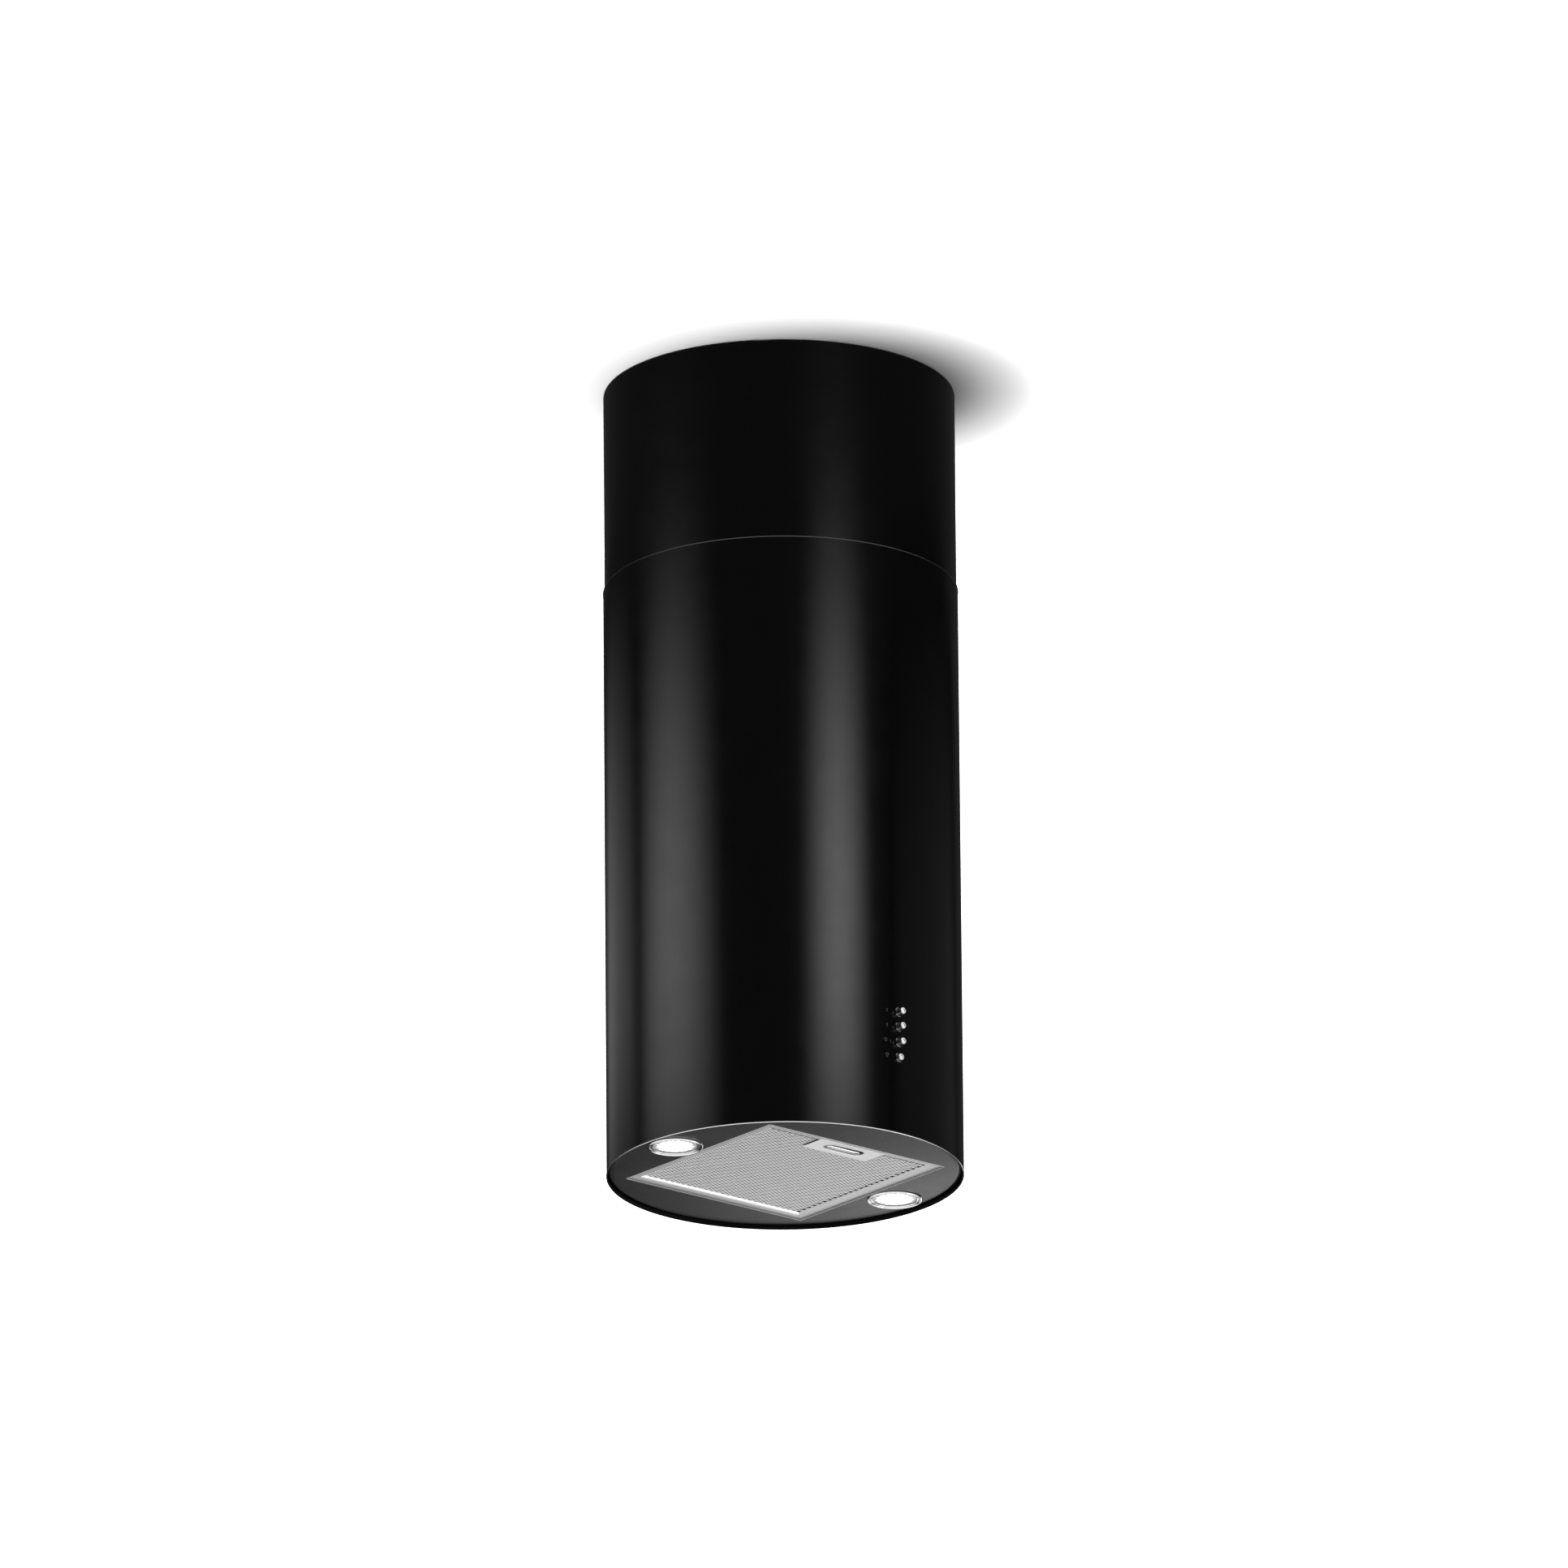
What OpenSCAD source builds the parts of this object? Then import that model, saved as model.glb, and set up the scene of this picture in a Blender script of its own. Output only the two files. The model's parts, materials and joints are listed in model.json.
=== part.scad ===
// Island range hood: two telescoping tubes on a ceiling frame, a centrifugal blower, a bottom
// panel with a hinged grease filter, two recessed lamps and a column of four push buttons.
// The origin is the centre of the ceiling plate's top face. The hood hangs along -Z and its
// controls face -Y.

/* [Overall] */
// Height from the ceiling to the bottom rim
hood_h = 990; // [970:5:1010]
// Outer diameter of the lower tube
lower_od = 430; // [429:0.5:432]
// Wall thickness of both tubes
tube_wall = 0.8; // [0.7:0.1:1]

/* [Telescope] */
// Length of the lower tube
lower_len = 740; // [730:5:750]
// Length of the upper tube
upper_len = 450; // [440:5:460]
// Radial gap between the two tubes
tube_gap = 0.9; // [0.6:0.1:1.2]

/* [Ceiling frame] */
// Half the width of the ceiling plate
plate_half = 145; // [142:1:147]
// Thickness of the ceiling plate and the blower plate
plate_t = 2; // [1.5:0.5:2]
// Diameter of the circle of ceiling bolts
bolt_pcd = 250; // [245:5:255]
// Radius of a ceiling bolt hole
bolt_r = 4.5; // [4:0.5:5]
// Distance from the axis to the outer face of a frame bar
bar_out = 120; // [118:1:121]
// Leg width of the outer frame bars
bar_leg = 25; // [22:1:26]
// Thickness of the frame bars
bar_t = 1.5; // [1:0.5:1.5]

/* [Bottom panel] */
// Depth of the panel above the tube's rim
panel_recess = 4; // [3:0.5:5]
// Thickness of the panel sheet
panel_t = 1; // [0.8:0.1:1.2]
// Radius of the panel's rounded edge
panel_round = 8; // [6:1:9]
// Width of the square filter opening
opening_w = 270.5; // [270:0.5:271]

/* [Filter] */
// Width of the square filter
filter_w = 267.5; // [267:0.5:268]
// Thickness of the filter
filter_t = 9.5; // [9:0.5:10]
// Width of the filter's border
border_w = 13; // [11:1:14]

/* [Lamps] */
// Distance of a lamp from the hood's axis
lamp_x = 171; // [170.5:0.5:171.5]
// Radius of a lamp's bezel
lamp_r = 34; // [33:0.5:34]

/* [Buttons] */
// Radius of a button
button_r = 4; // [3.5:0.1:4]
// How far a released button stands out of the tube
button_out = 9.4; // [8:0.1:10]
// Travel of a button
button_travel = 4.3; // [3:0.1:4.5]
// Distance between the numbered buttons
button_pitch = 19; // [18:0.5:19]
// Height of the light button above the rim
button_low = 95; // [90:1:100]

/* [Blower] */
// Radius of the duct collar
collar_r = 75; // [73:1:76]
// Height of the duct collar
collar_h = 60; // [55:1:62]
// Radius of the impeller
impeller_r = 70; // [66:1:71]
// Number of impeller blades
blade_n = 36; // [24:2:40]

/* [Hidden] */
$fn = 96;

// Tubes
lower_r = lower_od / 2;
lower_bore = lower_r - tube_wall;
upper_r = lower_bore - tube_gap;
upper_bore = upper_r - tube_wall;
rim_z = -hood_h;
seam_z = rim_z + lower_len;
weld_gap = 0.05;

// Ceiling frame
bar_low_z = -440;
slot_w = 6.6;
slot_top_z = -46;
slot_low_z = -364;
tie_h = 15;
duct_hole_r = 110;
nest_gap = 0.2;
inner_out = bar_out - bar_t - nest_gap;
inner_leg = 22;
inner_top_z = -190;
clamp_z = -230;
clamp_r = 3;
bar_mid = bar_out - bar_leg / 2;
bar_spin = [0, 90, 180, 270];
bracket_spin = [45, 135, 225, 315];
bracket_w = 16;
bracket_t = 1.6;
bracket_in = 190;
bracket_screw_r = 198;
m4 = 2;

// Blower plate and what stands on it
deck_z = -638;
deck_low = deck_z - plate_t;
deck_r = 213;
box_x = 55;
box_y = [-200, -128];
box_h = 44;
lead_hole = [40, -160];
gland_at = [18, -164];
gland_bore = 4;
gland_h = 20;
driver_x = 149;
capacitor_y = 150;
flap_z = deck_z + 38;
pin_r = 1.5;
running = 0.05;

// Blower
duct_half = 76;
shell_t = 1.5;
volute_y = -49;
volute_z = -767;
volute_start = 82;
volute_end = duct_half - volute_y;
volute_a0 = 180 - acos((duct_half + volute_y) / volute_start);
volute_n = 22;
inlet_r = 61;
shaft_r = 4;
motor_r = 45;
motor_x = [-98, -16];
bearing_r = 9;
bearing_w = 7;
leg_at = 80;
leg_spin = [90, 210, 330];
leg_len = 18;
bush_t = 4;

// Bottom panel
panel_z = rim_z + panel_recess;
panel_r = lower_bore - 0.4;
panel_flange = 12.5;
lip_h = 10;
opening_half = opening_w / 2;
stud_at = [80, 170];
stud_r = 2;
stud_tab_z = panel_z + 14;

// Filter
filter_half = filter_w / 2;
filter_low = panel_z + 1.5;
filter_top = filter_low + filter_t;
filter_wall = 0.8;
field_half = filter_half - border_w;
hinge_y = 131;
handle_w = 98;
handle_y = [-128.8, -91.4];
window_w = 58;
window_d = 17;
handle_mid = (handle_y[0] + handle_y[1]) / 2;
latch_w = 30;
latch_gap = 0.4;

// Lamps and buttons
lamp_hole = 30;
button_z = [button_low, button_low + button_pitch, button_low + 2 * button_pitch + 0.5,
            button_low + 3 * button_pitch];
bezel_r = 6;
switch_y = [-211, -182];
switch_half = 12;

steel = "silver";
black = [0.03, 0.03, 0.035];
panel_grey = [0.22, 0.22, 0.23];
zinc = [0.62, 0.63, 0.65];
alu = [0.78, 0.78, 0.78];

// ---------------------------------------------------------------- shared shapes
module ring(r_out, r_in, h) {
    difference() {
        cylinder(r = r_out, h = h);
        translate([0, 0, -1]) cylinder(r = r_in, h = h + 2);
    }
}

module each_angle(angles) {
    for (a = angles) rotate([0, 0, a]) children();
}

// Lays a shape drawn around +Z along the blower's axis, +X
module on_blower_axis() {
    translate([0, volute_y, volute_z]) rotate([90, 0, 90]) children();
}

// Head above z = 0, shank below it
module screw(r, head_r, head_h, length) {
    translate([0, 0, -length]) cylinder(r = r, h = length, $fn = 24);
    cylinder(r = head_r, h = head_h, $fn = 32);
}

module hex_nut(across, h, bore) {
    difference() {
        cylinder(r = across / 2 / cos(30), h = h, $fn = 6);
        translate([0, 0, -1]) cylinder(r = bore, h = h + 2, $fn = 24);
    }
}

// A block between two corners
module block(low, high) {
    translate(low) cube(high - low);
}

function unit(v) = v / norm(v);

// The direction of a lead at point i: its own step at the ends, the mean of both steps between
function lead_way(points, i) =
    let (last = len(points) - 1,
         before = i > 0 ? unit(points[i] - points[i - 1]) : unit(points[1] - points[0]),
         after = i < last ? unit(points[i + 1] - points[i]) : before)
    unit(before + after);

// Swept along with the lead, so that its rings don't twist
function lead_side(points, i) =
    let (way = lead_way(points, i),
         side = i == 0 ? [0.36, 0.48, 0.8] : lead_side(points, i - 1))
    unit(side - (side * way) * way);

// A round lead with flat ends through a list of points
module lead(points, r) {
    sides = 8;
    last = len(points) - 1;
    rings = [for (i = [0:last])
        let (way = lead_way(points, i), u = lead_side(points, i), v = cross(way, u))
        for (k = [0:sides - 1])
            points[i] + r * (cos(k * 360 / sides) * u + sin(k * 360 / sides) * v)];
    wall = [for (i = [0:last - 1], k = [0:sides - 1])
        let (a = i * sides + k, b = i * sides + (k + 1) % sides)
        [a, a + sides, b + sides, b]];
    polyhedron(rings, concat(wall, [[for (k = [0:sides - 1]) k]],
                             [[for (k = [sides - 1:-1:0]) last * sides + k]]));
}

// An angle bracket welded to the inside of a tube: a tab at z = 0 and a flange along the wall
module wall_bracket(wall_r, tab_in, hole_at, hole_r, flange_h) {
    difference() {
        intersection() {
            union() {
                translate([0, 0, min(flange_h, 0)])
                    ring(wall_r - weld_gap, wall_r - weld_gap - 1.2, abs(flange_h));
                translate([0, 0, flange_h > 0 ? 0 : -bracket_t])
                    ring(wall_r - weld_gap, tab_in, bracket_t);
            }
            block([0, -bracket_w / 2, -50], [wall_r + 1, bracket_w / 2, 50]);
        }
        translate([hole_at, 0, -10]) cylinder(r = hole_r, h = 20, $fn = 24);
    }
}

// ---------------------------------------------------------------- ceiling frame
module ceiling_plate() {
    color(zinc) difference() {
        block([-plate_half, -plate_half, -plate_t], [plate_half, plate_half, 0]);
        translate([0, 0, -plate_t - 1]) cylinder(r = duct_hole_r, h = plate_t + 2);
        each_angle(bar_spin)
            translate([bolt_pcd / 2, 0, -plate_t - 1]) cylinder(r = bolt_r, h = plate_t + 2);
        each_angle(bracket_spin)
            translate([bracket_screw_r, 0, -plate_t - 1])
                cylinder(r = m4 + 0.1, h = plate_t + 2, $fn = 24);
    }
}

module angle_bar(outer, leg, low_z, high_z) {
    inner = outer - bar_t;
    tip = outer - leg;
    translate([0, 0, low_z]) linear_extrude(high_z - low_z)
        polygon([[outer, outer], [tip, outer], [tip, inner], [inner, inner], [inner, tip],
                 [outer, tip]]);
}

module upper_bar(spin) {
    color(zinc) rotate([0, 0, spin]) difference() {
        angle_bar(bar_out, bar_leg, bar_low_z, -plate_t);
        block([bar_out - bar_t - 1, bar_mid - slot_w / 2, slot_low_z + slot_w / 2],
              [bar_out + 1, bar_mid + slot_w / 2, slot_top_z - slot_w / 2]);
        for (z = [slot_low_z + slot_w / 2, slot_top_z - slot_w / 2])
            translate([bar_out - bar_t - 1, bar_mid, z])
                rotate([0, 90, 0]) cylinder(r = slot_w / 2, h = bar_t + 2, $fn = 32);
    }
}

module upper_tie_frame() {
    color(zinc) translate([0, 0, bar_low_z]) linear_extrude(tie_h) difference() {
        square(2 * bar_out + 4, center = true);
        square(2 * bar_out, center = true);
    }
}

module upper_tube() {
    color(black) translate([0, 0, -upper_len]) ring(upper_r, upper_bore, upper_len, $fn = 160);
}

module upper_tube_brackets() {
    color(zinc) each_angle(bracket_spin) translate([0, 0, -plate_t])
        wall_bracket(upper_bore, bracket_in, bracket_screw_r, m4 + 0.2, -25);
}

module upper_tube_screws() {
    color(steel) each_angle(bracket_spin)
        translate([bracket_screw_r, 0, -plate_t - bracket_t]) mirror([0, 0, 1])
            screw(m4, 4, 2.6, plate_t + bracket_t - 0.2);
}

// ---------------------------------------------------------------- sliding hood body
module lower_tube() {
    color(black) difference() {
        translate([0, 0, rim_z]) ring(lower_r, lower_bore, lower_len, $fn = 160);
        for (z = button_z)
            translate([0, 0, rim_z + z]) rotate([90, 0, 0])
                cylinder(r = bezel_r - 0.5, h = lower_r + 1, $fn = 32);
    }
}

module lower_bar(spin) {
    color(zinc) rotate([0, 0, spin]) difference() {
        angle_bar(inner_out, inner_leg, deck_z, inner_top_z);
        translate([inner_out - bar_t - 1, bar_mid, clamp_z])
            rotate([0, 90, 0]) cylinder(r = clamp_r + 0.1, h = bar_t + 2, $fn = 32);
    }
}

// A bolt through each slot, with its nut inside the lower bar
module clamp_screws() {
    color(steel) each_angle(bar_spin) {
        translate([bar_out + 0.2, bar_mid, clamp_z]) rotate([0, 90, 0])
            screw(clamp_r, 5.5, 3.5, 9);
        translate([inner_out - bar_t - 4, bar_mid, clamp_z]) rotate([0, 90, 0])
            hex_nut(10, 4, clamp_r + weld_gap);
    }
}

module lead_holes(low_z, depth) {
    for (side = [-1, 1])
        translate([side * lead_hole[0], lead_hole[1], low_z]) cylinder(r = 8, h = depth);
}

module blower_plate() {
    color(zinc) translate([0, 0, deck_low]) difference() {
        cylinder(r = deck_r, h = plate_t);
        translate([0, 0, -1]) cylinder(r = collar_r - 1, h = plate_t + 2);
        lead_holes(-1, plate_t + 2);
        translate([driver_x, 0, -1]) cylinder(r = 4, h = plate_t + 2);
        translate([0, capacitor_y, -1]) cylinder(r = 4.2, h = plate_t + 2);
        each_angle(bracket_spin) for (r = [bracket_screw_r, collar_r + 9])
            translate([r, 0, -1]) cylinder(r = m4 + 0.1, h = plate_t + 2, $fn = 24);
        for (x = [-82, 82], y = [-60, 60])
            translate([x, y, -1]) cylinder(r = m4 + 0.1, h = plate_t + 2, $fn = 24);
    }
}

// Four under the blower plate and four above the bottom panel
module lower_tube_brackets() {
    stud_a = atan2(stud_at[1], stud_at[0]);
    color(zinc) {
        each_angle(bracket_spin) translate([0, 0, deck_low])
            wall_bracket(lower_bore, bracket_in, bracket_screw_r, m4 + 0.1, -25);
        each_angle([stud_a, 180 - stud_a, 180 + stud_a, -stud_a]) translate([0, 0, stud_tab_z])
            wall_bracket(lower_bore, 178, norm(stud_at), stud_r + 0.3, 27);
    }
}

module body_screws() {
    color(steel) {
        each_angle(bracket_spin) translate([bracket_screw_r, 0, deck_z]) screw(m4, 4, 2.6, 8);
        each_angle(bracket_spin) translate([collar_r + 9, 0, deck_z + 1.4])
            screw(m4, 4, 2.6, 5);
        for (x = [-82, 82], y = [-60, 60])
            translate([x, y, deck_low - shell_t]) mirror([0, 0, 1]) screw(m4, 4, 2.6, 5);
        on_blower_axis() each_angle(leg_spin)
            translate([leg_at, 0, motor_x[0] - 2]) mirror([0, 0, 1])
                screw(2.5, 4.5, 3, leg_len + bush_t + 4);
    }
}

module outlet_collar() {
    inner = collar_r - 1;
    color(zinc) difference() {
        union() {
            translate([0, 0, deck_z]) ring(collar_r, inner, collar_h);
            translate([0, 0, deck_z]) ring(collar_r + 17, inner, 1.4);
            difference() {
                translate([0, 0, flap_z - 2.2]) ring(collar_r - 0.5, inner - 3.5, 1.5);
                block([-4, -collar_r, flap_z - 3], [4, collar_r, flap_z]);
            }
        }
        translate([0, collar_r + 1, flap_z]) rotate([90, 0, 0])
            cylinder(r = pin_r + running, h = 2 * collar_r + 2, $fn = 24);
        each_angle(bracket_spin) translate([collar_r + 9, 0, deck_z - 1])
            cylinder(r = m4 + 0.1, h = 4, $fn = 24);
    }
}

module flap_pin() {
    color(steel) translate([0, collar_r - 0.1, flap_z]) rotate([90, 0, 0])
        cylinder(r = pin_r, h = 2 * collar_r - 0.2, $fn = 24);
}

// A half disc with two knuckles on the centre pin
module flap(side) {
    thick = 0.8;
    radius = collar_r - 2.7;
    edge = 4;
    knuckle_w = 20;
    starts = side > 0 ? [-50, 10] : [-28, 32];
    color(alu) translate([0, 0, flap_z]) difference() {
        union() {
            intersection() {
                translate([0, 0, -thick / 2]) cylinder(r = radius, h = thick);
                block([side > 0 ? edge : -100, -100, -1], [side > 0 ? 100 : -edge, 100, 1]);
            }
            for (y = starts) {
                translate([0, y, 0]) rotate([-90, 0, 0]) cylinder(r = 3, h = knuckle_w, $fn = 32);
                block([side > 0 ? 2 : -edge - 1, y, -thick / 2],
                      [side > 0 ? edge + 1 : -2, y + knuckle_w, thick / 2]);
            }
        }
        for (y = starts) translate([0, y - 1, 0]) rotate([-90, 0, 0])
            cylinder(r = pin_r + running, h = knuckle_w + 2, $fn = 32);
    }
}

// ---------------------------------------------------------------- electrics on the blower plate
module control_box() {
    color(zinc) difference() {
        block([-box_x, box_y[0], deck_z], [box_x, box_y[1], deck_z + box_h]);
        block([-box_x + 1, box_y[0] + 1, deck_z + 1], [box_x - 1, box_y[1] - 1, deck_z + box_h + 1]);
        lead_holes(deck_z - 1, 3);
    }
}

module control_box_cover() {
    gap = 0.1;
    rim = 8;
    top = deck_z + box_h;
    color(zinc) difference() {
        block([-box_x - 1 - gap, box_y[0] - 1 - gap, top - rim],
              [box_x + 1 + gap, box_y[1] + 1 + gap, top + 1]);
        block([-box_x - gap, box_y[0] - gap, top - rim - 1],
              [box_x + gap, box_y[1] + gap, top]);
        translate([gland_at[0], gland_at[1], top - 1]) cylinder(r = 6.1, h = 3, $fn = 32);
    }
}

module cable_gland() {
    color(black) translate([gland_at[0], gland_at[1], deck_z + box_h + 1]) difference() {
        union() {
            translate([0, 0, -7]) cylinder(r = 6, h = 8, $fn = 32);
            cylinder(r = 9, h = 5, $fn = 6);
            translate([0, 0, 5]) cylinder(r = 7.5, h = 5, $fn = 32);
            translate([0, 0, 10]) cylinder(r1 = 7.5, r2 = 5.5, h = 3, $fn = 32);
        }
        translate([0, 0, -8]) cylinder(r = gland_bore, h = gland_h + 2, $fn = 32);
    }
}

module capacitor() {
    color("white") translate([0, capacitor_y, deck_z]) {
        cylinder(r = 17.5, h = 52, $fn = 48);
        translate([0, 0, -12]) cylinder(r = 4, h = 12, $fn = 24);
        for (x = [-6, 6]) translate([x, 0, 52]) block([-2.5, -0.4, 0], [2.5, 0.4, 8]);
    }
}

module led_driver() {
    color("white") {
        block([driver_x - 17, -38, deck_z], [driver_x + 17, 38, deck_z + 24]);
        for (side = [-1, 1])
            block([driver_x - 10, side > 0 ? 38 : -46, deck_z],
                  [driver_x + 10, side > 0 ? 46 : -38, deck_z + 2]);
    }
}

// ---------------------------------------------------------------- blower
function volute_point(i, inset) =
    let (t = i / volute_n,
         a = volute_a0 + (360 - volute_a0) * t,
         r = volute_start + (volute_end - volute_start) * t - inset)
    [i == 0 ? inset - duct_half : volute_y + r * cos(a), volute_z + r * sin(a)];

// The scroll's outline in the YZ plane, from the top of the front wall round to the rear wall
function volute(inset, top) =
    concat([[inset - duct_half, top]], [for (i = [0:volute_n]) volute_point(i, inset)],
           [[duct_half - inset, top]]);

// One half of the scroll: a side plate, half the volute wall and half the outlet flange
module scroll(side) {
    color(zinc) mirror([side > 0 ? 0 : 1, 0, 0]) difference() {
        union() {
            rotate([90, 0, 90]) linear_extrude(duct_half) polygon(volute(0, deck_low));
            block([0, -duct_half - 12, deck_low - shell_t],
                  [duct_half + 12, duct_half + 12, deck_low]);
        }
        translate([-1, 0, 0]) rotate([90, 0, 90])
            linear_extrude(duct_half - shell_t + 1) polygon(volute(shell_t, deck_low + 1));
        on_blower_axis() translate([0, 0, duct_half - 5]) cylinder(r = inlet_r, h = 10);
        for (y = [-60, 60]) translate([82, y, deck_low - 5]) cylinder(r = m4 + 0.1, h = 10, $fn = 24);
        if (side < 0) on_blower_axis() each_angle(leg_spin)
            translate([leg_at, 0, duct_half - 5]) cylinder(r = 2.6, h = 10, $fn = 24);
    }
}

// Bell-mouth ring over each inlet
module inlet_rings() {
    color(zinc) for (side = [-1, 1]) mirror([side > 0 ? 0 : 1, 0, 0])
        on_blower_axis() translate([0, 0, duct_half]) rotate_extrude()
            polygon([[70, 0], [60.5, 0], [57, -1.5], [54.6, -5], [54, -8], [53, -8], [53.6, -4.6],
                     [56, -0.4], [60, 1.2], [70, 1.2]]);
}

module impeller() {
    half = 62;
    color(alu) on_blower_axis() difference() {
        union() {
            for (z = [-half, half - 2]) translate([0, 0, z])
                ring(impeller_r, impeller_r - 13, 2);
            translate([0, 0, -1]) cylinder(r = impeller_r, h = 2);
            translate([0, 0, -12]) cylinder(r = 12, h = 24);
            each_angle([for (i = [0:blade_n - 1]) i * 360 / blade_n])
                translate([impeller_r - 6.5, 0, 0]) rotate([0, 0, 32])
                    block([-5.5, -0.5, 1 - half], [5.5, 0.5, half - 1]);
        }
        translate([0, 0, -13]) cylinder(r = shaft_r + weld_gap, h = 26, $fn = 32);
    }
}

// The shaft with the motor's rotor and the nut that holds the impeller
module motor_shaft() {
    color(steel) on_blower_axis() {
        translate([0, 0, motor_x[0] + 1]) cylinder(r = shaft_r, h = 20 - motor_x[0] - 1, $fn = 32);
        translate([0, 0, -78]) cylinder(r = 21.4, h = 48);
        translate([0, 0, 12.2]) cylinder(r = 7.5, h = 6, $fn = 6);
    }
}

module motor_can() {
    length = motor_x[1] - motor_x[0];
    color(steel) on_blower_axis() translate([0, 0, motor_x[0]]) difference() {
        cylinder(r = motor_r, h = length);
        translate([0, 0, 2]) cylinder(r = motor_r - shell_t, h = length - 4);
        translate([0, 0, -1]) cylinder(r = bearing_r + weld_gap, h = length + 2, $fn = 32);
    }
}

module motor_stator() {
    color("sienna") on_blower_axis() translate([0, 0, -80])
        ring(motor_r - shell_t - weld_gap, 22, 52);
}

module motor_bearings() {
    color(steel) on_blower_axis()
        for (z = [motor_x[0], motor_x[1] - bearing_w]) translate([0, 0, z])
            ring(bearing_r, shaft_r + running, bearing_w, $fn = 32);
}

// Three arms over the motor's end, with a hollow leg to the scroll under each
module motor_bracket() {
    color(zinc) on_blower_axis() translate([0, 0, motor_x[0]]) difference() {
        union() {
            translate([0, 0, -2]) cylinder(r = 30, h = 2);
            each_angle(leg_spin) {
                block([0, -7, -2], [leg_at + 7, 7, 0]);
                translate([leg_at, 0, 0]) cylinder(r = 6, h = leg_len, $fn = 32);
            }
        }
        translate([0, 0, -3]) cylinder(r = bearing_r + 1, h = 4, $fn = 32);
        each_angle(leg_spin) translate([leg_at, 0, -3]) cylinder(r = 2.6, h = leg_len + 4, $fn = 24);
    }
}

// A rubber bush at the foot of each leg of the motor bracket
module motor_bushes() {
    color([0.1, 0.1, 0.1]) on_blower_axis() each_angle(leg_spin)
        translate([leg_at, 0, motor_x[0] + leg_len]) ring(8, 2.6, bush_t, $fn = 32);
}

// ---------------------------------------------------------------- bottom panel
function arc(cx, cz, r, a0, a1, n) =
    [for (i = [0:n]) [cx + r * cos(a0 + (a1 - a0) * i / n), cz + r * sin(a0 + (a1 - a0) * i / n)]];

module bottom_panel() {
    round_x = panel_r - panel_round;
    round_z = panel_z + panel_round;
    top = panel_z + panel_flange;
    color(panel_grey) difference() {
        union() {
            difference() {
                rotate_extrude($fn = 160) polygon(concat(
                    [[0, panel_z]], arc(round_x, round_z, panel_round, -90, 0, 6),
                    [[panel_r, top], [panel_r - panel_t, top]],
                    arc(round_x, round_z, panel_round - panel_t, 0, -90, 6),
                    [[0, panel_z + panel_t]]));
                for (side = [-1, 1]) translate([side * lamp_x, 0, panel_z - 1])
                    cylinder(r = lamp_hole, h = 4);
            }
            block([-opening_half - panel_t, -opening_half - panel_t, panel_z],
                  [opening_half + panel_t, opening_half + panel_t, panel_z + panel_t + lip_h]);
            for (x = [-1, 1], y = [-1, 1])
                translate([x * stud_at[0], y * stud_at[1], panel_z + panel_t / 2])
                    cylinder(r = stud_r, h = 21, $fn = 24);
        }
        block([-opening_half, -opening_half, panel_z - 1],
              [opening_half, opening_half, panel_z + lip_h + 3]);
    }
}

module panel_nuts() {
    color(steel) for (x = [-1, 1], y = [-1, 1])
        translate([x * stud_at[0], y * stud_at[1], stud_tab_z + bracket_t])
            hex_nut(7, 3.2, stud_r + weld_gap);
}

// ---------------------------------------------------------------- lamps
module at_lamp(side) {
    translate([side * lamp_x, 0, panel_z]) children();
}

module lamp_bezel(side) {
    color(steel) at_lamp(side) rotate_extrude()
        polygon([[lamp_r, 0], [lamp_r, -0.9], [lamp_r - 1, -1.7], [lamp_r - 3, -2],
                 [lamp_r - 5.5, -1.7], [26.2, -0.6], [26.2, 10], [27.6, 10], [27.6, 0]]);
}

module lamp_lens(side) {
    color([1, 1, 0.95]) at_lamp(side) rotate_extrude()
        polygon([[0, -0.6], [15, -0.4], [24, 0.2], [26, 0.8], [26, 1.8], [0, 1.8]]);
}

module lamp_reflector(side) {
    color(steel) at_lamp(side) rotate_extrude()
        polygon([[25.9, 2], [24, 7], [20, 14], [9, 21], [0, 21], [0, 22], [9.4, 22], [20.8, 14.8],
                 [24.9, 7.2], [25.9, 4.5]]);
}

module lamp_housing(side) {
    color(black) at_lamp(side) difference() {
        translate([0, 0, 0.1]) cylinder(r = 28.8, h = 31);
        translate([0, 0, -1]) cylinder(r = 28, h = 31);
        translate([0, 0, 20]) cylinder(r = 3, h = 20, $fn = 24);
    }
}

// Two spring leaves on each lamp housing, pressing on the panel's upper face
module lamp_clips() {
    width = 8;
    color(steel) for (side = [-1, 1], way = [-1, 1])
        at_lamp(side) mirror([0, way > 0 ? 0 : 1, 0]) translate([-width / 2, 0, 0])
            rotate([90, 0, 90]) linear_extrude(width)
                polygon([[29, 20], [29.8, 20], [37, 2.6], [36.4, 1.1], [35.6, 1.5], [29, 17]]);
}

// ---------------------------------------------------------------- controls
module switch_block() {
    color([0.15, 0.15, 0.16]) difference() {
        block([-switch_half, switch_y[0], rim_z + button_z[0] - 10],
              [switch_half, switch_y[1], rim_z + button_z[3] + 10]);
        for (z = button_z) translate([0, switch_y[1] - 2.5, rim_z + z]) rotate([90, 0, 0])
            cylinder(r = button_r + 0.2, h = 40, $fn = 48);
    }
}

// A U of sheet metal behind the switch block, welded to the tube above and below it
module switch_bracket() {
    low = rim_z + button_z[0] - 25;
    high = rim_z + button_z[3] + 25;
    front = -sqrt(lower_bore * lower_bore - switch_half * switch_half) + 0.2;
    color(zinc) {
        block([-switch_half, switch_y[1], low], [switch_half, switch_y[1] + 1.2, high]);
        for (z = [low, high - 1.2])
            block([-switch_half, front, z], [switch_half, switch_y[1] + 1.2, z + 1.2]);
    }
}

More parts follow.
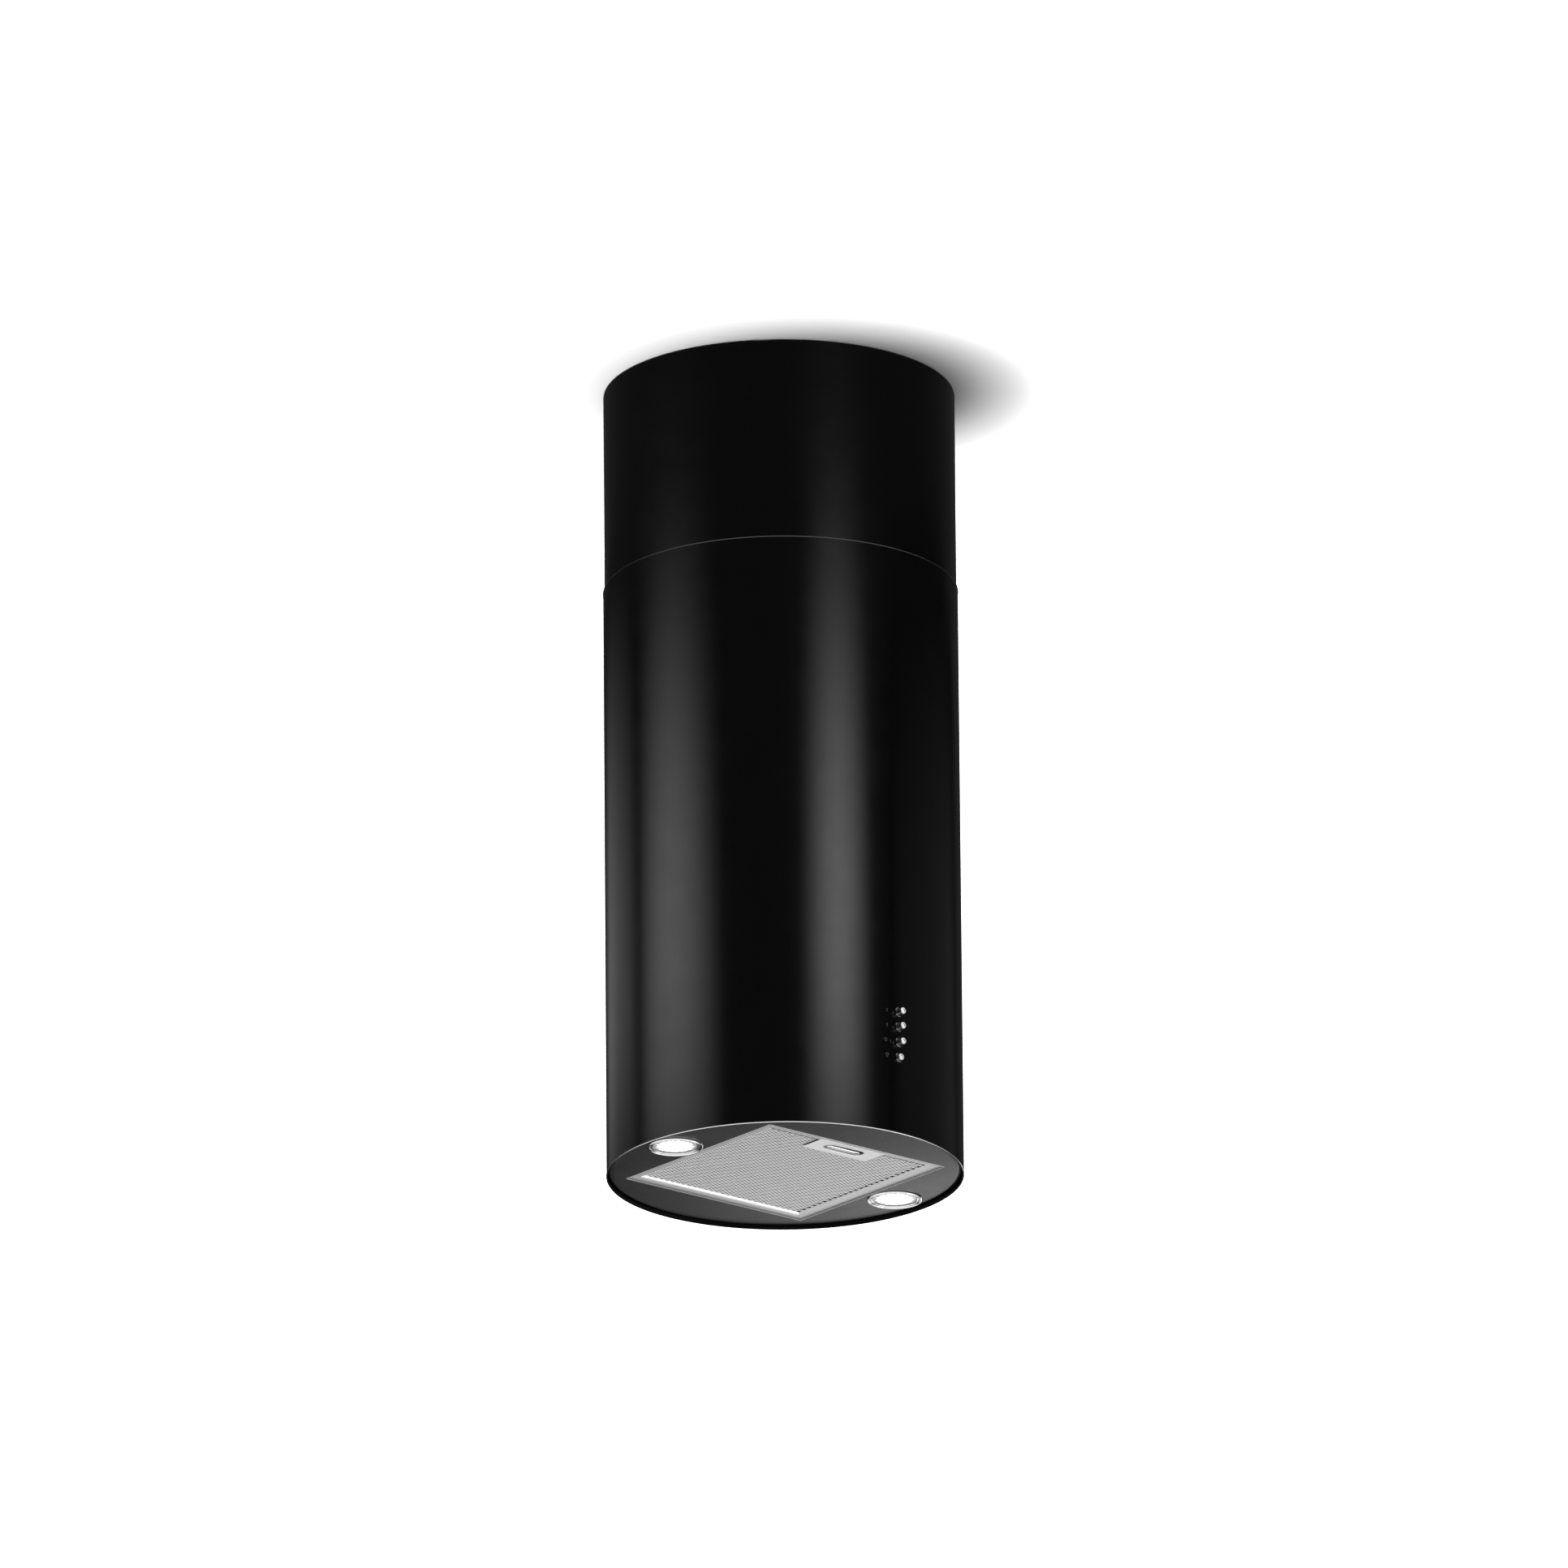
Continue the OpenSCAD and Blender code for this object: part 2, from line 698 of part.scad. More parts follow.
module button_bezels() {
    color(steel) for (z = button_z)
        translate([0, -lower_r - 0.05, rim_z + z]) rotate([90, 0, 0]) rotate_extrude($fn = 48)
            polygon([[button_r + 0.2, -3], [bezel_r - 0.6, -3], [bezel_r - 0.6, 0], [bezel_r, 0],
                     [bezel_r, 1.2], [bezel_r - 0.6, 1.9], [button_r + 0.5, 1.9],
                     [button_r + 0.2, 1.6]]);
}

// A button is one turned pin; its front face is at out from the tube
module button(height, out) {
    length = 34.4;
    color(steel) translate([0, -lower_r - out, rim_z + height]) rotate([-90, 0, 0])
        rotate_extrude($fn = 48)
            polygon([[0, 0], [button_r - 0.7, 0], [button_r - 0.2, 0.2], [button_r, 0.7],
                     [button_r, length], [0, length]]);
}

// ---------------------------------------------------------------- internal leads
module internal_leads() {
    deck_in = deck_z + 12;
    lamp_top = panel_z + 31.2;
    block_side = rim_z + button_z[1] + 15;
    color([0.12, 0.12, 0.12]) {
        lead([[-98.2, -20, -742], [-112, -20, -742], [-112, -130, -720], [-40, -157, -690],
              [-40, -157, deck_in]], 2.6);
        lead([[-lamp_x, 0, lamp_top], [-lamp_x, 0, -935], [-188, -20, -900], [-188, -20, -690],
              [-100, -150, -670], [-40, -165, -660], [-40, -165, deck_in]], 1.8);
        lead([[lamp_x, 0, lamp_top], [lamp_x, 0, -935], [188, -20, -900], [188, -20, -690],
              [driver_x, 0, -660], [driver_x, 0, deck_z - 0.1]], 1.8);
        lead([[switch_half + 0.1, -195, block_side], [26, -195, block_side], [40, -180, -830],
              [40, -160, -700], [40, -160, deck_in]], 2.2);
    }
}

// ---------------------------------------------------------------- filter
module filter_frame() {
    cavity = filter_half - filter_wall;
    color(alu) {
        difference() {
            block([-filter_half, -filter_half, filter_low], [filter_half, filter_half, filter_top]);
            block([-field_half, -field_half, filter_low - 1],
                  [field_half, field_half, filter_top + 1]);
            block([-cavity, -cavity, filter_low + filter_wall],
                  [cavity, cavity, filter_top - filter_wall]);
            block([-latch_w / 2 - 1, -filter_half - 1, filter_low + 3],
                  [latch_w / 2 + 1, -cavity + 1, filter_low + 7.6]);
        }
        for (x = [-80, 80]) {
            block([x - 10, hinge_y - 3, filter_top], [x + 10, filter_half, filter_top + 1.4]);
            block([x - 10, filter_half, filter_top + 0.6], [x + 10, filter_half + 8, filter_top + 1.4]);
        }
    }
}

// The expanded-metal face and three finer layers above it, cut away around the latch
module filter_mesh() {
    reach = filter_half - filter_wall - 0.3;
    color(alu) for (layer = [[1, 2.4], [3.4, 4], [5.2, 5.8], [7, 7.6]]) difference() {
        block([-reach, -reach, filter_low + layer[0]], [reach, reach, filter_low + layer[1]]);
        block([-46, -reach - 1, filter_low], [46, -95, filter_top]);
    }
}

module stadium(length, width, low, high) {
    flat = (length - width) / 2;
    translate([0, handle_mid, low]) linear_extrude(high - low) {
        square([2 * flat, width], center = true);
        for (x = [-flat, flat]) translate([x, 0]) circle(d = width, $fn = 48);
    }
}

// The smooth plate over the filter's front edge, with the finger cup behind its window
module latch_plate() {
    face = filter_low - 0.8;
    cup_top = filter_low + 7.5;
    color(alu) difference() {
        union() {
            block([-handle_w / 2, handle_y[0], face], [handle_w / 2, handle_y[1], filter_low]);
            stadium(window_w + 1.6, window_d + 1.6, face, cup_top);
        }
        stadium(window_w, window_d, face - 1, cup_top - 0.8);
        block([-latch_w / 2 - 0.5, handle_mid - 20, filter_low + 3.6],
              [latch_w / 2 + 0.5, handle_mid, cup_top - 0.8]);
    }
}

// The finger bar in the cup and the tongue that runs forward through the frame
module filter_latch() {
    bar_y = handle_mid + 1;
    color(steel) {
        translate([0, bar_y - handle_mid, 0]) stadium(50, 8, filter_low - 0.6, filter_low + 5);
        block([-latch_w / 2, -opening_half + latch_gap, filter_low + 4],
              [latch_w / 2, bar_y + 4, filter_low + 6.6]);
    }
}

// ---------------------------------------------------------------- assembly
ceiling_plate();
upper_bar(bar_spin[0]);  // upper_bar_rear_right
upper_bar(bar_spin[1]);  // upper_bar_rear_left
upper_bar(bar_spin[2]);  // upper_bar_front_left
upper_bar(bar_spin[3]);  // upper_bar_front_right
upper_tie_frame();
upper_tube();
upper_tube_brackets();
upper_tube_screws();
lower_tube();
lower_bar(bar_spin[0]);  // lower_bar_rear_right
lower_bar(bar_spin[1]);  // lower_bar_rear_left
lower_bar(bar_spin[2]);  // lower_bar_front_left
lower_bar(bar_spin[3]);  // lower_bar_front_right
clamp_screws();
blower_plate();
lower_tube_brackets();
body_screws();
outlet_collar();
flap_pin();
control_box();
control_box_cover();
cable_gland();
capacitor();
led_driver();
scroll(-1);  // scroll_left
scroll(1);  // scroll_right
inlet_rings();
motor_can();
motor_stator();
motor_bearings();
motor_bracket();
motor_bushes();
bottom_panel();
panel_nuts();
switch_block();
switch_bracket();
button_bezels();
lamp_bezel(-1);  // lamp_bezel_left
lamp_bezel(1);  // lamp_bezel_right
lamp_lens(-1);  // lamp_lens_left
lamp_lens(1);  // lamp_lens_right
lamp_reflector(-1);  // lamp_reflector_left
lamp_reflector(1);  // lamp_reflector_right
lamp_housing(-1);  // lamp_housing_left
lamp_housing(1);  // lamp_housing_right
lamp_clips();
internal_leads();
impeller();
motor_shaft();
flap(-1);  // flap_left
flap(1);  // flap_right
filter_frame();
filter_mesh();
latch_plate();
filter_latch();
button(button_z[0], button_out - button_travel);  // button_light
button(button_z[1], button_out);  // button_power
button(button_z[2], button_out);  // button_two
button(button_z[3], button_out);  // button_three
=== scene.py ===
import json
import math

import bmesh
import bpy
from mathutils import Matrix, Vector
from mathutils.geometry import tessellate_polygon

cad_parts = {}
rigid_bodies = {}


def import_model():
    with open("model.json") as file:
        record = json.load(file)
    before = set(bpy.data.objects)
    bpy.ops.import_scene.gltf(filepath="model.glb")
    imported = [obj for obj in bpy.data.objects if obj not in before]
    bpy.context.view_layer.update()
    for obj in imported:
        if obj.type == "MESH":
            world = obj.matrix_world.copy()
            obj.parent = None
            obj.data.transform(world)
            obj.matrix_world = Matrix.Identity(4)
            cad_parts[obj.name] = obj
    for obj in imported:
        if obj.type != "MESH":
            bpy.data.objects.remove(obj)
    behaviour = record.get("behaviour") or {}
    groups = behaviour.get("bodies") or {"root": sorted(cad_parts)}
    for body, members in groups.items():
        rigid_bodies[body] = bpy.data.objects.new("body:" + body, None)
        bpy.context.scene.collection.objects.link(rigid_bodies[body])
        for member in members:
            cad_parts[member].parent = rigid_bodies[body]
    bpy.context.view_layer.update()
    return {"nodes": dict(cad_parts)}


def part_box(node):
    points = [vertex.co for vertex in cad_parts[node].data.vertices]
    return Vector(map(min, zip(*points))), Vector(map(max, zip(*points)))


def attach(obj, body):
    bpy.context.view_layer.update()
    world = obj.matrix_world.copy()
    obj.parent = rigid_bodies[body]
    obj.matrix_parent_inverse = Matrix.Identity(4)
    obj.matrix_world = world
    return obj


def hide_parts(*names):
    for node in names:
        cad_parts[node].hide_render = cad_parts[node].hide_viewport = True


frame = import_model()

nodes = frame["nodes"]

MM = 0.001
TAU = 2 * math.pi

# ---------------------------------------------------------------- places taken from the frame
tube_low, tube_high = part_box("lower_tube")
TUBE_R = tube_high.x
RIM_Z = tube_low.z
SEAM_Z = tube_high.z
UPPER_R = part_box("upper_tube")[1].x
panel_low, panel_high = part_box("bottom_panel")
PANEL_Z = panel_low.z
PANEL_R = panel_high.x
filter_low, filter_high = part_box("filter_frame")
FILTER_Z = filter_low.z
FILTER_HALF = filter_high.x
PANEL_LIP = FILTER_HALF + 1.5 * MM
BORDER_W = 13 * MM
FIELD_HALF = FILTER_HALF - BORDER_W
RAIL_SLOPE = 3.2 * MM
RAIL_RISE = 2.2 * MM
plate_low, plate_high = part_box("latch_plate")
bar_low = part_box("filter_latch")[0]
lamp_at = (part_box("lamp_bezel_right")[0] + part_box("lamp_bezel_right")[1]) / 2
BUTTONS = ["button_light", "button_power", "button_two", "button_three"]
LAMP_SIDES = {"left": -1, "right": 1}


# ---------------------------------------------------------------- camera
VIEW_AZ = math.radians(-39.65)
VIEW_EL = math.radians(-18.47)
VIEW_ROLL = math.radians(-0.475)
VIEW_DISTANCE = 30.0
VIEW_LENS = 570.1
VIEW_TARGET_Z = -0.4932
VIEW_TARGET_RIGHT = 0.00235

view_right = Vector((math.cos(VIEW_AZ), math.sin(VIEW_AZ), 0))


def towards(azimuth, elevation):
    """The direction from the hood to a place at these angles in radians, azimuth 0 being -Y."""
    flat = math.cos(elevation)
    return Vector((math.sin(azimuth) * flat, -math.cos(azimuth) * flat, math.sin(elevation)))


def make_camera():
    """A long lens from low in front on the left, as in the photograph."""
    data = bpy.data.cameras.new("camera")
    data.lens = VIEW_LENS
    data.clip_start = 1
    data.clip_end = 80
    camera = bpy.data.objects.new("camera", data)
    bpy.context.scene.collection.objects.link(camera)
    back = towards(VIEW_AZ, VIEW_EL)
    target = view_right * VIEW_TARGET_RIGHT + Vector((0, 0, VIEW_TARGET_Z))
    camera.location = target + back * VIEW_DISTANCE
    turn = (-back).to_track_quat("-Z", "Y").to_matrix() @ Matrix.Rotation(VIEW_ROLL, 3, "Z")
    camera.rotation_euler = turn.to_euler()
    bpy.context.scene.camera = camera


# ---------------------------------------------------------------- materials
def new_material(name):
    """A new material, its node tree and its main shader."""
    material = bpy.data.materials.new(name)
    material.use_nodes = True
    tree = material.node_tree
    return material, tree, tree.nodes["Principled BSDF"]


def add_node(tree, kind, **inputs):
    node = tree.nodes.new(kind)
    for key, value in inputs.items():
        node.inputs[key.replace("_", " ")].default_value = value
    return node


def object_coordinates(tree, stretch=(1, 1, 1), place=(0, 0, 0)):
    """Object coordinates, moved to place and stretched."""
    source = tree.nodes.new("ShaderNodeTexCoord")
    mapping = tree.nodes.new("ShaderNodeMapping")
    mapping.inputs["Scale"].default_value = stretch
    mapping.inputs["Location"].default_value = place
    tree.links.new(source.outputs["Object"], mapping.inputs["Vector"])
    return mapping.outputs["Vector"]


def noise(tree, vector, scale, detail=4.0):
    node = add_node(tree, "ShaderNodeTexNoise", Scale=scale, Detail=detail)
    tree.links.new(vector, node.inputs["Vector"])
    return node.outputs["Fac"]


def spread(tree, value, low, high):
    """A noise value spread over low to high."""
    node = add_node(tree, "ShaderNodeMapRange", From_Min=0.3, From_Max=0.7, To_Min=low, To_Max=high)
    tree.links.new(value, node.inputs["Value"])
    return node.outputs["Result"]


def ramp(tree, value, dark, light):
    """A noise value turned into a colour from dark to light."""
    node = tree.nodes.new("ShaderNodeValToRGB")
    node.color_ramp.elements[0].color = (*dark, 1)
    node.color_ramp.elements[0].position = 0.3
    node.color_ramp.elements[1].color = (*light, 1)
    node.color_ramp.elements[1].position = 0.7
    tree.links.new(value, node.inputs["Fac"])
    return node.outputs["Color"]


def bump(tree, shader, height, strength, distance):
    node = add_node(tree, "ShaderNodeBump", Strength=strength, Distance=distance)
    tree.links.new(height, node.inputs["Height"])
    tree.links.new(node.outputs["Normal"], shader.inputs["Normal"])


def finish_of(name, dark, light, rough, metallic=0.0, grain=500.0, stretch=(1, 1, 1),
              relief=0.1, wear=25.0, specular=0.5):
    """A finish with a fine grain in its colour and relief and a slower change of gloss."""
    material, tree, shader = new_material(name)
    place = object_coordinates(tree, stretch)
    fine = noise(tree, place, grain)
    slow = noise(tree, object_coordinates(tree), wear)
    tree.links.new(ramp(tree, fine, dark, light), shader.inputs["Base Color"])
    tree.links.new(spread(tree, slow, rough[0], rough[1]), shader.inputs["Roughness"])
    shader.inputs["Metallic"].default_value = metallic
    shader.inputs["Specular IOR Level"].default_value = specular
    bump(tree, shader, fine, relief, 0.0001)
    return material


def galvanised():
    """Zinc-coated sheet: a spangle of crystals a few millimetres across."""
    material, tree, shader = new_material("zinc_sheet")
    place = object_coordinates(tree)
    crystals = add_node(tree, "ShaderNodeTexVoronoi", Scale=200.0)
    tree.links.new(place, crystals.inputs["Vector"])
    tone = tree.nodes.new("ShaderNodeSeparateColor")
    tree.links.new(crystals.outputs["Color"], tone.inputs["Color"])
    tree.links.new(ramp(tree, tone.outputs["Red"], (0.42, 0.43, 0.45), (0.53, 0.54, 0.56)),
                   shader.inputs["Base Color"])
    tree.links.new(spread(tree, tone.outputs["Green"], 0.32, 0.5), shader.inputs["Roughness"])
    shader.inputs["Metallic"].default_value = 0.6
    bump(tree, shader, noise(tree, place, 900.0), 0.08, 0.0001)
    return material


def winding():
    """Enamelled copper wire wound in layers around the X axis."""
    material, tree, shader = new_material("copper_winding")
    place = object_coordinates(tree)
    wires = add_node(tree, "ShaderNodeTexWave", Scale=420.0, Distortion=0.6)
    wires.bands_direction = "X"
    tree.links.new(place, wires.inputs["Vector"])
    tree.links.new(ramp(tree, wires.outputs["Fac"], (0.16, 0.045, 0.015), (0.65, 0.24, 0.09)),
                   shader.inputs["Base Color"])
    tree.links.new(spread(tree, noise(tree, place, 300.0), 0.25, 0.4), shader.inputs["Roughness"])
    shader.inputs["Metallic"].default_value = 0.85
    bump(tree, shader, wires.outputs["Fac"], 0.5, 0.0003)
    return material


def math_node(tree, operation, first, second=None):
    """A Math node on one or two values, each a number or a socket."""
    node = tree.nodes.new("ShaderNodeMath")
    node.operation = operation
    for socket, value in zip(node.inputs, (first, second)):
        if value is None:
            continue
        if isinstance(value, (int, float)):
            socket.default_value = value
        else:
            tree.links.new(value, socket)
    return node.outputs["Value"]


def lit_lens(name, centre):
    """The lamp's frosted lens: a white core that breaks into short rays before its edge."""
    material, tree, shader = new_material(name)
    place = object_coordinates(tree, place=tuple(-c for c in centre))
    parts = tree.nodes.new("ShaderNodeSeparateXYZ")
    tree.links.new(place, parts.inputs["Vector"])
    angle = math_node(tree, "ARCTAN2", parts.outputs["Y"], parts.outputs["X"])
    length = tree.nodes.new("ShaderNodeVectorMath")
    length.operation = "LENGTH"
    tree.links.new(place, length.inputs[0])
    rays = math_node(tree, "SINE", math_node(tree, "MULTIPLY", angle, 22.0))
    more = math_node(tree, "SINE", math_node(tree, "MULTIPLY", angle, 13.0))
    reach = math_node(tree, "ADD", math_node(tree, "MULTIPLY", rays, 0.0009),
                      math_node(tree, "MULTIPLY", more, 0.0007))
    radius = math_node(tree, "ADD", length.outputs["Value"], reach)
    glow = add_node(tree, "ShaderNodeMapRange", From_Min=0.0185, From_Max=0.0226,
                    To_Min=3.0, To_Max=0.08)
    tree.links.new(radius, glow.inputs["Value"])
    tree.links.new(glow.outputs["Result"], shader.inputs["Emission Strength"])
    shader.inputs["Emission Color"].default_value = (1.0, 1.0, 1.0, 1)
    frost = noise(tree, place, 1500.0)
    tree.links.new(ramp(tree, frost, (0.42, 0.43, 0.44), (0.55, 0.56, 0.57)),
                   shader.inputs["Base Color"])
    tree.links.new(spread(tree, frost, 0.12, 0.22), shader.inputs["Roughness"])
    return material


def handle_finish_with_painted_shade():
    """Satin aluminium with painted shade in its pressed cup: darker the deeper it goes, most of all at its
    +X end.
    """
    material = finish_of("handle_aluminium_painted_shade", (0.86, 0.86, 0.867), (0.91, 0.91, 0.917), (0.42, 0.48), 0.6,
                         grain=2200, stretch=(6, 1, 1), relief=0.03)
    tree = material.node_tree
    shader = tree.nodes["Principled BSDF"]
    grain = shader.inputs["Base Color"].links[0].from_socket
    parts = tree.nodes.new("ShaderNodeSeparateXYZ")
    tree.links.new(object_coordinates(tree), parts.inputs["Vector"])
    # Painted shade: the cup's colour goes towards near black with depth below the plate's face and towards
    # +X.
    shade_depth = add_node(tree, "ShaderNodeMapRange", From_Min=plate_low.z + 0.9 * MM,
                     From_Max=plate_low.z + 2.6 * MM)
    tree.links.new(parts.outputs["Z"], shade_depth.inputs["Value"])
    along = add_node(tree, "ShaderNodeMapRange", From_Min=-30 * MM, From_Max=10 * MM, To_Min=0.1)
    tree.links.new(parts.outputs["X"], along.inputs["Value"])
    painted_shade_blend = tree.nodes.new("ShaderNodeMixRGB")
    painted_shade_blend.inputs["Color2"].default_value = (0.05, 0.05, 0.052, 1)
    tree.links.new(math_node(tree, "MULTIPLY", shade_depth.outputs["Result"], along.outputs["Result"]),
                   painted_shade_blend.inputs["Fac"])
    tree.links.new(grain, painted_shade_blend.inputs["Color1"])
    tree.links.new(painted_shade_blend.outputs["Color"], shader.inputs["Base Color"])
    return material


BLACK_GLOSS = finish_of("black_gloss_paint", (0.0020,) * 3, (0.0026,) * 3, (0.19, 0.22),
                        grain=1800, relief=0.008)
BRIGHT_EDGE = finish_of("polished_edge", (0.88, 0.88, 0.89), (0.94, 0.94, 0.95), (0.2, 0.26), 1.0,
                        grain=1500, relief=0.01)
DARK_EDGE = finish_of("dark_edge_metal", (0.1, 0.1, 0.102), (0.13, 0.13, 0.133), (0.26, 0.32), 1.0,
                      grain=1500, relief=0.01)
PANEL_SATIN = finish_of("grey_satin_paint", (0.009, 0.0093, 0.0096), (0.012, 0.0123, 0.0126),
                        (0.24, 0.3), grain=2500, relief=0.02)
ZINC = galvanised()
STEEL = finish_of("bright_steel", (0.55, 0.56, 0.57), (0.66, 0.66, 0.67), (0.18, 0.3), 1.0,
                  grain=900, relief=0.04)
ALUMINIUM = finish_of("satin_aluminium", (0.55, 0.55, 0.557), (0.61, 0.61, 0.617), (0.36, 0.44), 0.7,
                      grain=1500, stretch=(1, 8, 1), relief=0.05)
BLADES = finish_of("mill_aluminium", (0.6, 0.6, 0.61), (0.74, 0.74, 0.75), (0.28, 0.4), 0.95,
                   grain=700, relief=0.06)
EXPANDED = finish_of("expanded_aluminium", (0.86, 0.86, 0.867), (0.95, 0.95, 0.957), (0.3, 0.4), 0.6,
                     grain=1200, relief=0.1)
# The layers behind the face are coloured near black: painted shade that makes the openings of the face read
# dark.
LAYER_PAINTED_SHADE = finish_of("layered_aluminium_painted_shade", (0.006, 0.006, 0.0062), (0.02, 0.02, 0.0205), (0.4, 0.55), 0.5,
                  grain=700, relief=0.5)
CHROME = finish_of("chrome", (0.8, 0.8, 0.81), (0.88, 0.88, 0.89), (0.05, 0.09), 1.0,
                   grain=1500, relief=0.005)
PIN = finish_of("satin_chrome", (0.74, 0.74, 0.75), (0.86, 0.86, 0.87), (0.2, 0.26), 1.0,
                grain=1500, relief=0.02)
DARK_CHROME = finish_of("dark_chrome", (0.16, 0.16, 0.163), (0.2, 0.2, 0.203), (0.1, 0.16), 1.0,
                        grain=1500, relief=0.01)
WHITE_PLASTIC = finish_of("white_plastic", (0.7, 0.7, 0.68), (0.78, 0.78, 0.76), (0.38, 0.5),
                          grain=1500, relief=0.06)
BLACK_PLASTIC = finish_of("black_plastic", (0.012,) * 3, (0.022,) * 3, (0.35, 0.5),
                          grain=1600, relief=0.12)
BLACK_METAL = finish_of("black_lamp_metal", (0.02,) * 3, (0.035,) * 3, (0.4, 0.5), 0.2,
                        grain=900, relief=0.1)
RUBBER = finish_of("rubber", (0.015,) * 3, (0.024,) * 3, (0.62, 0.75), grain=800, relief=0.15)
INK = finish_of("printed_ink", (0.2, 0.2, 0.2), (0.27, 0.27, 0.27), (0.4, 0.5), grain=3000, relief=0.02)
COPPER = winding()
HANDLE_PAINTED_SHADE = handle_finish_with_painted_shade()

CAD_FINISH = {
    ZINC: ["ceiling_plate", "upper_tie_frame", "upper_tube_brackets", "blower_plate",
           "lower_tube_brackets", "outlet_collar", "control_box", "control_box_cover",
           "scroll_left", "scroll_right", "inlet_rings", "motor_bracket", "switch_bracket"]
          + ["%s_bar_%s_%s" % (tier, end, side) for tier in ("upper", "lower")
             for end in ("rear", "front") for side in ("right", "left")],
    STEEL: ["upper_tube_screws", "clamp_screws", "body_screws", "flap_pin", "motor_can",
            "motor_bearings", "panel_nuts", "lamp_clips", "motor_shaft"],
    BLADES: ["impeller", "flap_left", "flap_right"],
    BLACK_GLOSS: ["lower_tube", "upper_tube"],
    COPPER: ["motor_stator"],
    WHITE_PLASTIC: ["capacitor", "led_driver"],
    BLACK_PLASTIC: ["cable_gland", "switch_block", "internal_leads"],
    RUBBER: ["motor_bushes"],
    BLACK_METAL: ["lamp_housing_left", "lamp_housing_right"],
    DARK_CHROME: ["button_bezels"],
    CHROME: ["lamp_bezel_left", "lamp_bezel_right", "lamp_reflector_left",
             "lamp_reflector_right", "lamp_lens_left", "lamp_lens_right", "filter_latch"] + BUTTONS,
    ALUMINIUM: ["filter_frame", "latch_plate"],
    EXPANDED: ["filter_mesh"],
    PANEL_SATIN: ["bottom_panel"],
}


def finish_cad_nodes():
    """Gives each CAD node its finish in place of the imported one."""
    for material, names in CAD_FINISH.items():
        for name in names:
            slots = nodes[name].data.materials
            slots.clear()
            slots.append(material)


# ---------------------------------------------------------------- mesh helpers
def build(name, verts, faces, material, body, slot, replaces=(), smooth=35, place=None):
    """A closed piece from points and faces, its doubles merged and its faces turned outwards."""
    mesh = bpy.data.meshes.new(name)
    work = bmesh.new()
    points = [work.verts.new(v) for v in verts]
    for face in faces:
        corners = list(dict.fromkeys(face))
        if len(corners) > 2:
            work.faces.new([points[i] for i in corners])
    bmesh.ops.remove_doubles(work, verts=work.verts, dist=1e-6)
    bmesh.ops.dissolve_degenerate(work, edges=work.edges, dist=1e-7)
    bmesh.ops.recalc_face_normals(work, faces=work.faces)
    if place is not None:
        bmesh.ops.transform(work, matrix=place, verts=work.verts)
    work.to_mesh(mesh)
    work.free()
    mesh.shade_smooth()
    mesh.set_sharp_from_angle(angle=math.radians(smooth))
    mesh.materials.append(material)
    piece = bpy.data.objects.new(name, mesh)
    bpy.context.scene.collection.objects.link(piece)
    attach(piece, body)
    if replaces:
        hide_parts(*replaces)
    return piece


def join_lists(*shapes):
    """Several (points, faces) pairs as one."""
    verts, faces = [], []
    for more_verts, more_faces in shapes:
        start = len(verts)
        verts += more_verts
        faces += [tuple(i + start for i in face) for face in more_faces]
    return verts, faces


def arc(cx, cy, radius, start, end, steps):
    """Points of an arc, angles in degrees, both ends included."""
    turn = [math.radians(start + (end - start) * i / steps) for i in range(steps + 1)]
    return [(cx + radius * math.cos(t), cy + radius * math.sin(t)) for t in turn]


def lathe(profile, steps, closed=True, centre=(0, 0), flute=None):
    """An (r, z) outline turned around an upright axis. flute(angle, r) may move a point in or out."""
    verts = []
    for s in range(steps):
        angle = TAU * s / steps
        for r, z in profile:
            reach = flute(angle, r) if flute else r
            verts.append((centre[0] + reach * math.cos(angle),
                          centre[1] + reach * math.sin(angle), z))
    count = len(profile)
    last = count if closed else count - 1
    faces = []
    for s in range(steps):
        here, there = s * count, (s + 1) % steps * count
        for i in range(last):
            j = (i + 1) % count
            faces.append((here + i, there + i, there + j, here + j))
    return verts, faces


def loft(rings, caps=True):
    """Rings of equally many points, joined one to the next, with the ends closed by caps."""
    count = len(rings[0])
    verts = [point for ring in rings for point in ring]
    faces = []
    for k in range(len(rings) - 1):
        for i in range(count):
            j = (i + 1) % count
            faces.append((k * count + i, k * count + j, (k + 1) * count + j, (k + 1) * count + i))
    if caps:
        faces.append(tuple(range(count)))
        faces.append(tuple((len(rings) - 1) * count + i for i in range(count)))
    return verts, faces


def rounded_box_ring(half_x, half_y, corner, z, centre=(0, 0), steps=5):
    """A rectangle with round corners, at height z."""
    ring = []
    for quarter, (sx, sy) in enumerate(((1, 1), (-1, 1), (-1, -1), (1, -1))):
        x = centre[0] + sx * (half_x - corner)
        y = centre[1] + sy * (half_y - corner)
        for px, py in arc(x, y, corner, 90 * quarter, 90 * quarter + 90, steps):
            ring.append((px, py, z))
    return ring


